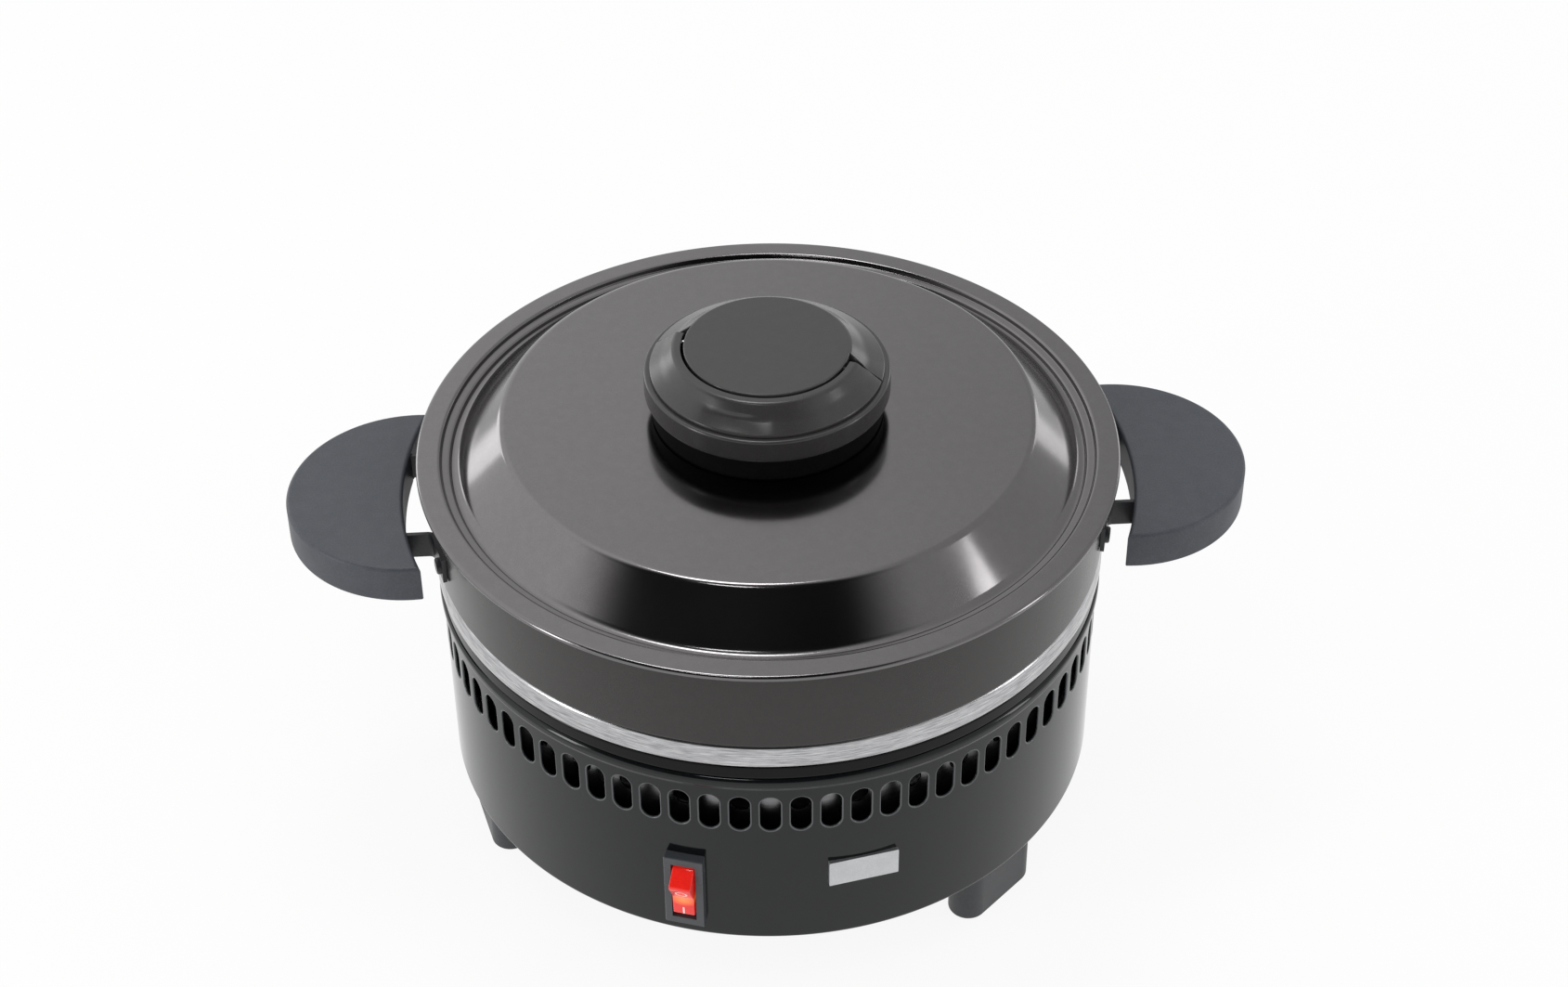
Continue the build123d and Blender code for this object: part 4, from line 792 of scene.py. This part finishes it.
def resampled(line, count):
    # the same line with evenly spaced points
    far = np.concatenate([[0], np.cumsum(np.linalg.norm(np.diff(line, axis=0), axis=1))])
    spots = np.linspace(0, far[-1], count)
    return np.stack([np.interp(spots, far, line[:, axis]) for axis in (0, 1)], 1)


def sectorGrids(setup, outer, inner, cut, behind, count):
    # a ring's section carried from one cutting line to the other: at radius r the line
    # y = c lies at an angle arccos(c / r) from the middle; both ends are bevelled and closed
    start, end = setup["cutBlend"]
    loop = np.concatenate([outer, inner[::-1]])
    small = insetLoop(loop, -setup["endBevel"] * mm)
    turns = np.concatenate([[-1], np.linspace(-1, 1, count), [1]])[:, None]
    first = np.zeros_like(turns)
    first[[0, -1]] = 1
    radius = loop[None, :, 0] * (1 - first) + small[None, :, 0] * first
    height = loop[None, :, 1] * (1 - first) + small[None, :, 1] * first
    line = cut[0] + (cut[1] - cut[0]) * smooth((radius / mm - start) / (end - start))
    spread = np.arccos(np.clip(line * mm / radius * (1 if behind else -1), -1, 1))
    spread = spread - (1 - first) * setup["endBevel"] * mm / radius
    turn = turns * spread
    if not behind:
        # a bowl in the slope round the middle of the front, shallow again at its lower edge: with
        # u across and v up, each -1 to 1, its depth is (1 - u^2)^1.5 (1 - v^2)^2
        across = turn * setup["skirtRadius"] / setup["scoopReach"]
        share = np.concatenate([np.linspace(0, 1, len(outer)), np.zeros(len(inner))])[None]
        low, high = setup["scoopHeights"]
        drop = np.clip(1 - ((2 * height / mm - low - high) / (high - low)) ** 2, 0, 1) ** 2
        dip = np.clip(1 - across**2, 0, 1) ** 1.5 * drop * (share > setup["scoopStart"])
        radius = radius - dip * setup["scoopDepth"] * mm
    turn = turn + math.radians(setup["yaw"]) + (math.pi if behind else 0)
    grid = np.stack([radius * np.sin(turn), -radius * np.cos(turn), height], -1)
    size = len(outer)
    ends = [np.stack([row[:size], row[size:][::-1]], 1) for row in (grid[0], grid[-1])]
    return [(grid, False, True)] + [(end, False, False) for end in ends]


def makeKnobRing(setup):
    radius, low, top = setup["ringRadius"], setup["bottom"], setup["ringTop"]
    bore, floor = radius - setup["ringWall"], setup["floorTop"]
    section = roundedLine([
        (0, low, 0), (radius, low, setup["ringFoot"]), (radius, top, setup["ringEdge"]),
        (bore, top, setup["ringInnerEdge"]), (bore, floor, setup["floorBend"]), (0, floor, 0),
    ])
    ring = latheGrid(section, setup["segments"])
    makePiece("knobRing", [(ring, True, False)], "knob_plastic", "lid", ["knob_base"])


def slopeLines(setup, slope, crown, top, low, start, innerStart, steps=6):
    # the slope of the skirt or flap from its start over a shoulder at the crown's edge, a hollow
    # waist and a lip, and the same line inside, with as many points
    foot, lip = setup["skirtRadius"], setup["lip"]
    inside = foot - setup["skirtWall"]
    waist = np.array(((crown + foot) / 2 - slope["inward"], (top + low + lip) / 2 - setup["hollow"]))
    outer = roundedLine([
        *start, (crown, top, slope["shoulder"]), (*waist, slope["bend"]),
        (foot, low + lip, setup["lipBend"]), (foot, low, 0),
    ], steps=steps)
    inner = roundedLine([
        *innerStart, (*(waist - slope["wall"]), slope["innerBend"]),
        (inside, low + setup["innerLip"], 0), (inside, low, 0),
    ])
    return outer, resampled(inner, len(outer))


def makeKnobCap(setup):
    radius, core, top, floor = (setup[key] for key in ("capRadius", "coreRadius", "top", "floorTop"))
    under = top - setup["capThickness"]
    disc = roundedLine([
        (0, top, 0), (radius, top, setup["capEdge"]), (radius, under, 0),
        (core, under, 0), (core, floor, 0), (0, floor, 0),
    ])
    start = [(radius - setup["skirtStart"], top, 0)]
    outer, inner = slopeLines(
        setup, setup["skirtSlope"], radius, top, setup["ringTop"], start, [(core, under, 0)]
    )
    grids = [(latheGrid(disc, setup["segments"]), True, False)]
    grids += sectorGrids(setup, outer, inner, setup["skirtCut"], True, setup["skirtColumns"])
    makePiece("knobCap", grids, "knob_plastic", "lid", ["knob_cap"])


def makeKnobFlap(setup):
    inside, land, top = setup["flapInner"], setup["landRadius"], setup["flapTop"]
    under, edge = top - setup["skirtWall"], setup["noseEdge"]
    start = [(inside, under, 0), (inside, top, setup["flapEdge"])]
    innerStart = [(inside + setup["innerGap"], under, 0), (land - setup["landWall"], under, 0)]
    outer, inner = slopeLines(
        setup, setup["flapSlope"], land, top, setup["flapBottom"], start, innerStart, setup["flapSteps"]
    )
    grids = sectorGrids(setup, outer, inner, setup["flapCut"], False, setup["flapColumns"])
    radius, tail = setup["noseRadius"], setup["noseTail"]
    turn = np.radians(np.linspace(-90, 90, setup["noseSteps"]))
    arc = radius * np.stack([np.cos(turn), np.sin(turn)], 1)
    outline = np.concatenate([arc, [(-tail, radius), (-tail, -radius)]]) * mm
    yaw = math.radians(setup["yaw"])
    axes = np.array([(-math.sin(yaw), math.cos(yaw), 0), (0, 0, 1), (math.cos(yaw), math.sin(yaw), 0)])
    near, far = setup["noseSpan"]
    levels = [(edge, near), (0, near + edge), (0, far - edge), (edge, far)]
    for side in (-1, 1):
        nose = slabGrid(outline, [(inset, side * reach) for inset, reach in levels])
        grids.append((nose @ axes + np.array((0, 0, setup["pivotHeight"] * mm)), False, True))
    makePiece("knobFlap", grids, "knob_plastic", "flap", ["knob_flap"])


makeKnobRing(knob)
makeKnobCap(knob)
makeKnobFlap(knob)
print("knob made")


# rocker of the switch: side outline with a soft V, carried across its width with rounded edges
switch = {
    "azimuth": -17.7,
    "height": 48.8,
    "bezelFace": 120.4,
    "pivotDepth": 4.2,
    "tilt": 16.0,
    "dish": 13.0,
    "reach": 11.8,
    "crest": 5.4,
    "waist": 2.0,
    "foot": 3.5,
    "under": 5.0,
    "footBend": 0.5,
    "tipRise": 2.4,
    "sideRise": 0.5,
    "sideBend": 2.5,
    "width": 7.5,
    "edge": 0.35,
    "lip": 1.5,
    "valley": 5.0,
    "ringAt": 4.2,
    "ringRadius": 1.9,
    "stroke": 0.6,
    "markHeight": 4.0,
    "barAt": -6.6,
    "barLength": 3.4,
    "markColour": (0.85, 0.80, 0.76),
    "litColour": (0.30, 0.004, 0.002),
    "glowColour": (1.0, 0.33, 0.06),
    "glowAt": -1.2,
    "glowReach": 3.4,
    "glowWiden": 0.35,
    "lit": 0.8,
}


def markRocker(setup, spot, axes):
    # white ring and bar on the two halves, and a warm glow round the bend, all as masks of the red
    material = materials["rocker_red"]
    tree = material.node_tree
    calc = partial(addMath, tree)
    place = addNode(tree, "ShaderNodeTexCoord").outputs["Object"]
    local = addVector(tree, "SUBTRACT", place, spot)
    across, upwards, outwards = (
        calc("MULTIPLY", addVector(tree, "DOT_PRODUCT", local, axis), 1 / mm) for axis in axes
    )
    half = setup["stroke"] / 2
    fromRing = addDistance(tree, calc("SUBTRACT", upwards, setup["ringAt"]), across)
    ring = calc("COMPARE", fromRing, setup["ringRadius"], half)
    long = calc("COMPARE", upwards, setup["barAt"], setup["barLength"] / 2)
    bar = calc("MULTIPLY", long, calc("COMPARE", across, 0.0, half))
    front = calc("GREATER_THAN", outwards, setup["markHeight"])
    paintOver(material, calc("MULTIPLY", calc("MAXIMUM", ring, bar), front), setup["markColour"])
    fromGlow = calc("SUBTRACT", upwards, setup["glowAt"])
    wide = calc("MULTIPLY", across, calc("MULTIPLY", across, setup["glowWiden"]))
    near = calc("SQRT", calc("ADD", calc("MULTIPLY", fromGlow, fromGlow), wide))
    glow = addRange(tree, near, (setup["glowReach"], 0.0), kind="SMOOTHSTEP")
    feedShader(material, {
        "Emission Color": addMix(tree, glow, setup["litColour"], setup["glowColour"]),
        "Emission Strength": setup["lit"],
    })


def makeRocker(setup):
    axes, spot = wallPlace(setup["azimuth"], setup["bezelFace"] - setup["pivotDepth"], setup["height"])
    right, up, out = axes
    tilt = math.radians(setup["tilt"])
    along = up * math.cos(tilt) + out * math.sin(tilt)
    proud = out * math.cos(tilt) - up * math.sin(tilt)
    reach, crest, waist, under = (setup[key] for key in ("reach", "crest", "waist", "under"))
    end = math.sqrt(reach**2 - (crest + setup["tipRise"]) ** 2)
    tip = crest + end * math.tan(math.radians(setup["dish"]))
    side = math.sqrt(reach**2 - waist**2)
    below = [
        (end, tip, setup["lip"]), (side, setup["sideRise"], setup["sideBend"]),
        (side, -waist, setup["footBend"]), (setup["foot"], -under, setup["footBend"]),
    ]
    left = [(-x, y, bend) for x, y, bend in below]
    outline = roundedLine([(0, crest, setup["valley"])] + left + below[::-1], closed=True)
    half = setup["width"] / 2
    slab = slabGrid(outline, roundedLevels(-half, half, setup["edge"]))
    grid = slab @ np.array([along, proud, -right]) + spot
    makePiece("switchRocker", [(grid, False, True)], "rocker_red", "rocker", ["switch_rocker"])
    markRocker(setup, spot, (right, along, proud))


makeRocker(switch)
print("switch made")


# pan: one turned section from its underside over wall, rim and ledge to the floor, whose two flat
# faces are pierced round the holes; every hole has a raised lip and passes through the floor
pan = {
    "line": [
        (103.5, 118.6, 0), (109.5, 118.6, 1.0), (109.5, 114.3, 0.8), (112.3, 114.3, 0.8),
        (112.3, 121.6, 1.0), (114.9, 121.6, 1.0), (114.9, 117.2, 0.6), (117.6, 117.2, 0.8),
        (118.2, 148.0, 0.6), (120.0, 148.0, 0.6), (120.0, 150.8, 0.9), (116.7, 150.8, 0.9),
        (116.0, 125.5, 1.5), (111.5, 124.6, 1.2), (107.5, 121.5, 2.0), (103.5, 121.5, 0),
    ],
    "segments": 360,
    "holeField": 96.0,
    "holePitch": 19.0,
    "holeTurn": 37.5,
    "holeRadius": 4.5,
    "lipRadius": 6.2,
    "lipTop": 5.4,
    "lipRise": 0.9,
    "lipBend": 0.3,
    "lipSteps": 3,
    "holeSegments": 32,
}


def piercedPlate(radius, segments, centres, hole, holeSegments, z, nearest=1e-6, slack=1e-3):
    # a flat disc with round holes: Delaunay triangles between all the circles' points, less those
    # whose middle lies in a hole
    def circle(size, count):
        turn = np.linspace(0, 2 * np.pi, count, endpoint=False)
        return size * np.stack([np.sin(turn), -np.cos(turn)], 1)

    inner = centres[:, None] + circle(hole, holeSegments)
    spots = np.concatenate([circle(radius, segments), inner.reshape(-1, 2)])
    starts = segments + holeSegments * np.arange(len(centres))
    loops = [np.arange(segments)] + [start + np.arange(holeSegments) for start in starts]
    edges = np.concatenate([np.stack([loop, np.roll(loop, -1)], 1) for loop in loops])
    corners = [Vector(spot) for spot in spots.tolist()]
    flat, _, cells, _, _, _ = delaunay_2d_cdt(corners, edges.tolist(), [], 0, nearest)
    flat, cells = np.array(flat), np.array(cells)
    middles = flat[cells].mean(1)
    near = np.linalg.norm(middles[:, None] - centres[None], axis=2).min(1)
    cells = cells[near > hole * math.cos(math.pi / holeSegments) - slack]
    return np.column_stack([flat, np.full(len(flat), z)]) * mm, cells


def makePan(setup):
    flatRadius, under = setup["line"][0][:2]
    top = setup["line"][-1][1]
    grids = [(latheGrid(roundedLine(setup["line"]), setup["segments"]), True, False)]
    # the holes stand on a triangular lattice, whose points are (i + 1/3) a + (j + 1/3) b
    turn = np.radians(setup["holeTurn"] + np.array([0, 60]))
    steps = setup["holePitch"] * np.stack([np.cos(turn), np.sin(turn)], 1)
    reach = math.ceil(setup["holeField"] / setup["holePitch"]) + 2
    numbers = np.arange(-reach, reach) + 1 / 3
    centres = (numbers[:, None, None] * steps[0] + numbers[None, :, None] * steps[1]).reshape(-1, 2)
    centres = centres[np.linalg.norm(centres, axis=1) <= setup["holeField"]]
    crest, lip = top + setup["lipRise"], setup["lipBend"]
    collar = roundedLine([
        (setup["lipRadius"], top, 0), (setup["lipTop"], crest, lip),
        (setup["holeRadius"], crest, lip), (setup["holeRadius"], under, 0),
    ], steps=setup["lipSteps"])
    tube = latheGrid(collar, setup["holeSegments"])
    grids += [(tube + np.array((x, y, 0)) * mm, True, False) for x, y in centres]
    plates = [
        piercedPlate(flatRadius, setup["segments"], centres, hole, setup["holeSegments"], z)
        for hole, z in ((setup["lipRadius"], top), (setup["holeRadius"], under))
    ]
    makePiece("panShell", grids, "pan_coating", "pan", ["pan_shell"], plates)
    print("pan holes:", len(centres))


makePan(pan)


# the same coat is glossy black inside; on the rim's top a lighter bluish colour is a painted highlight
panZones = {
    "boreRadius": 117.15,
    "insideHeight": 119.5,
    "rimHeight": 149.9,
    "insideColour": (0.006, 0.006, 0.007),
    "insideRough": 0.16,
    # painted highlight: the bluish grey that light puts on the rim's top face
    "rimHighlightColour": (0.026, 0.028, 0.034),
}


def makeZoneGroup(setup):
    # masks over the pan: its inside, and its rolled rim with the upper edge of the wall
    group, entry, leave = makeGroup("panZones", [], ["Inside", "Rim"])
    calc = partial(addMath, group)
    height = addNode(group, "ShaderNodeSeparateXYZ", {0: entry["Vector"]}).outputs["Z"]
    within = calc("LESS_THAN", addAxisDistance(group, entry["Vector"]), setup["boreRadius"] * mm)
    above = calc("GREATER_THAN", height, setup["insideHeight"] * mm)
    feed(leave, {
        "Inside": calc("MULTIPLY", within, above),
        "Rim": calc("GREATER_THAN", height, setup["rimHeight"] * mm),
    })
    return group


def zonePan(setup):
    material = materials["pan_coating"]
    tree = material.node_tree
    place = addNode(tree, "ShaderNodeTexCoord").outputs["Object"]
    zones = addNode(tree, "ShaderNodeGroup", {"Vector": place}, node_tree=makeZoneGroup(setup)).outputs
    # paints the highlight colour over the rim's top
    paintOver(material, zones["Rim"], setup["rimHighlightColour"])
    paintOver(material, zones["Inside"], setup["insideColour"])
    rough = tree.nodes["Principled BSDF"].inputs["Roughness"].links[0].from_socket
    rough = addMix(tree, zones["Inside"], rough, setup["insideRough"], "FLOAT")
    feedShader(material, {"Roughness": rough})


zonePan(panZones)
print("pan zoned")


# studio
studio = {
    "floorSize": 6.0,
    "floorColour": (0.86, 0.86, 0.86),
    "whiteShare": 0.9,
    "skyPlain": 0.74,
    "skyBack": 0.95,
    "skyDark": 0.02,
    "darkTowards": (-0.2, -0.61, 0.767),
    "darkReach": (0.86, 0.6),
    "sideReach": (-0.35, 0.35),
    "skySides": (1.35, 0.76),
    "lampAim": (0, 0, 0.1),
    "lamps": {
        "overhead": {"at": (-0.15, 0.3, 1.5), "size": (0.5, 0.25), "watts": 4.0},
        "leftStrip": {"at": (-1.0, 1.05, 0.35), "size": (0.4, 0.6), "watts": 1.5},
        "rightStrip": {"at": (1.05, 0.95, 0.35), "size": (0.35, 0.6), "watts": 1.1},
        "frontHigh": {"at": (-0.25, -0.5, 1.4), "size": (0.25, 0.12), "watts": 1.0},
        "leftBox": {"at": (-1.25, -0.55, 0.45), "size": (0.24, 0.8), "watts": 4.4},
        "rightBox": {"at": (1.3, -0.35, 0.45), "size": (0.2, 0.8), "watts": 2.4},
    },
}


def rayMask(tree, *kinds):
    # 1 for rays of the named kinds
    path = addNode(tree, "ShaderNodeLightPath").outputs
    mask = path[f"Is {kinds[0]} Ray"]
    for kind in kinds[1:]:
        mask = addMath(tree, "MAXIMUM", mask, path[f"Is {kind} Ray"])
    return mask


def makeFloor(setup):
    # plain floor, partly self-lit where it is seen
    half = setup["floorSize"] / 2
    corners = [(-half, -half, 0), (half, -half, 0), (half, half, 0), (-half, half, 0)]
    data = bpy.data.meshes.new("floor")
    data.from_pydata(corners, [], [(0, 1, 2, 3)])
    floor = bpy.data.objects.new("floor", data)
    bpy.context.scene.collection.objects.link(floor)
    material = bpy.data.materials.new("paleFloor")
    material.use_nodes = True
    tree = material.node_tree
    tree.nodes.clear()
    plain = addNode(tree, "ShaderNodeBsdfDiffuse", {"Color": (*setup["floorColour"], 1)}).outputs[0]
    white = addNode(tree, "ShaderNodeEmission").outputs[0]
    seen = rayMask(tree, "Camera", "Glossy", "Transmission")
    share = addMath(tree, "MULTIPLY", seen, setup["whiteShare"])
    mix = addNode(tree, "ShaderNodeMixShader", {0: share, 1: plain, 2: white}).outputs[0]
    addNode(tree, "ShaderNodeOutputMaterial", {0: mix})
    data.materials.append(material)


def makeSky(setup):
    # white where it is seen; mirrors see one dark patch high in front, and less light on the right
    world = bpy.data.worlds.new("softSky")
    world.use_nodes = True
    bpy.context.scene.world = world
    tree = world.node_tree
    place = addNode(tree, "ShaderNodeTexCoord").outputs["Generated"]
    towards = addVector(tree, "DOT_PRODUCT", place, setup["darkTowards"])
    dark = addRange(tree, towards, setup["darkReach"], (setup["skyDark"], setup["skyBack"]), "SMOOTHSTEP")
    aside = addNode(tree, "ShaderNodeSeparateXYZ", {0: place}).outputs["X"]
    sides = addRange(tree, aside, setup["sideReach"], setup["skySides"], "SMOOTHSTEP")
    uneven = addMath(tree, "MULTIPLY", dark, sides)
    mirrored = addMix(tree, rayMask(tree, "Glossy"), setup["skyPlain"], uneven, "FLOAT")
    strength = addMix(tree, rayMask(tree, "Camera", "Transmission"), mirrored, 1.0, "FLOAT")
    feed(tree.nodes["Background"], {"Color": (1, 1, 1, 1), "Strength": strength})


def makeLamps(setup):
    for name, lamp in setup["lamps"].items():
        light = bpy.data.lights.new(name, "AREA")
        light.shape = "RECTANGLE"
        light.size, light.size_y = lamp["size"]
        light.energy = lamp["watts"]
        holder = bpy.data.objects.new(name, light)
        aim = Vector(setup["lampAim"]) - Vector(lamp["at"])
        turned = aim.to_track_quat("-Z", "Y").to_matrix().to_4x4()
        holder.matrix_world = Matrix.Translation(lamp["at"]) @ turned
        bpy.context.scene.collection.objects.link(holder)


makeFloor(studio)
makeSky(studio)
makeLamps(studio)
bpy.context.scene.view_settings.view_transform = "Standard"
print("studio made")
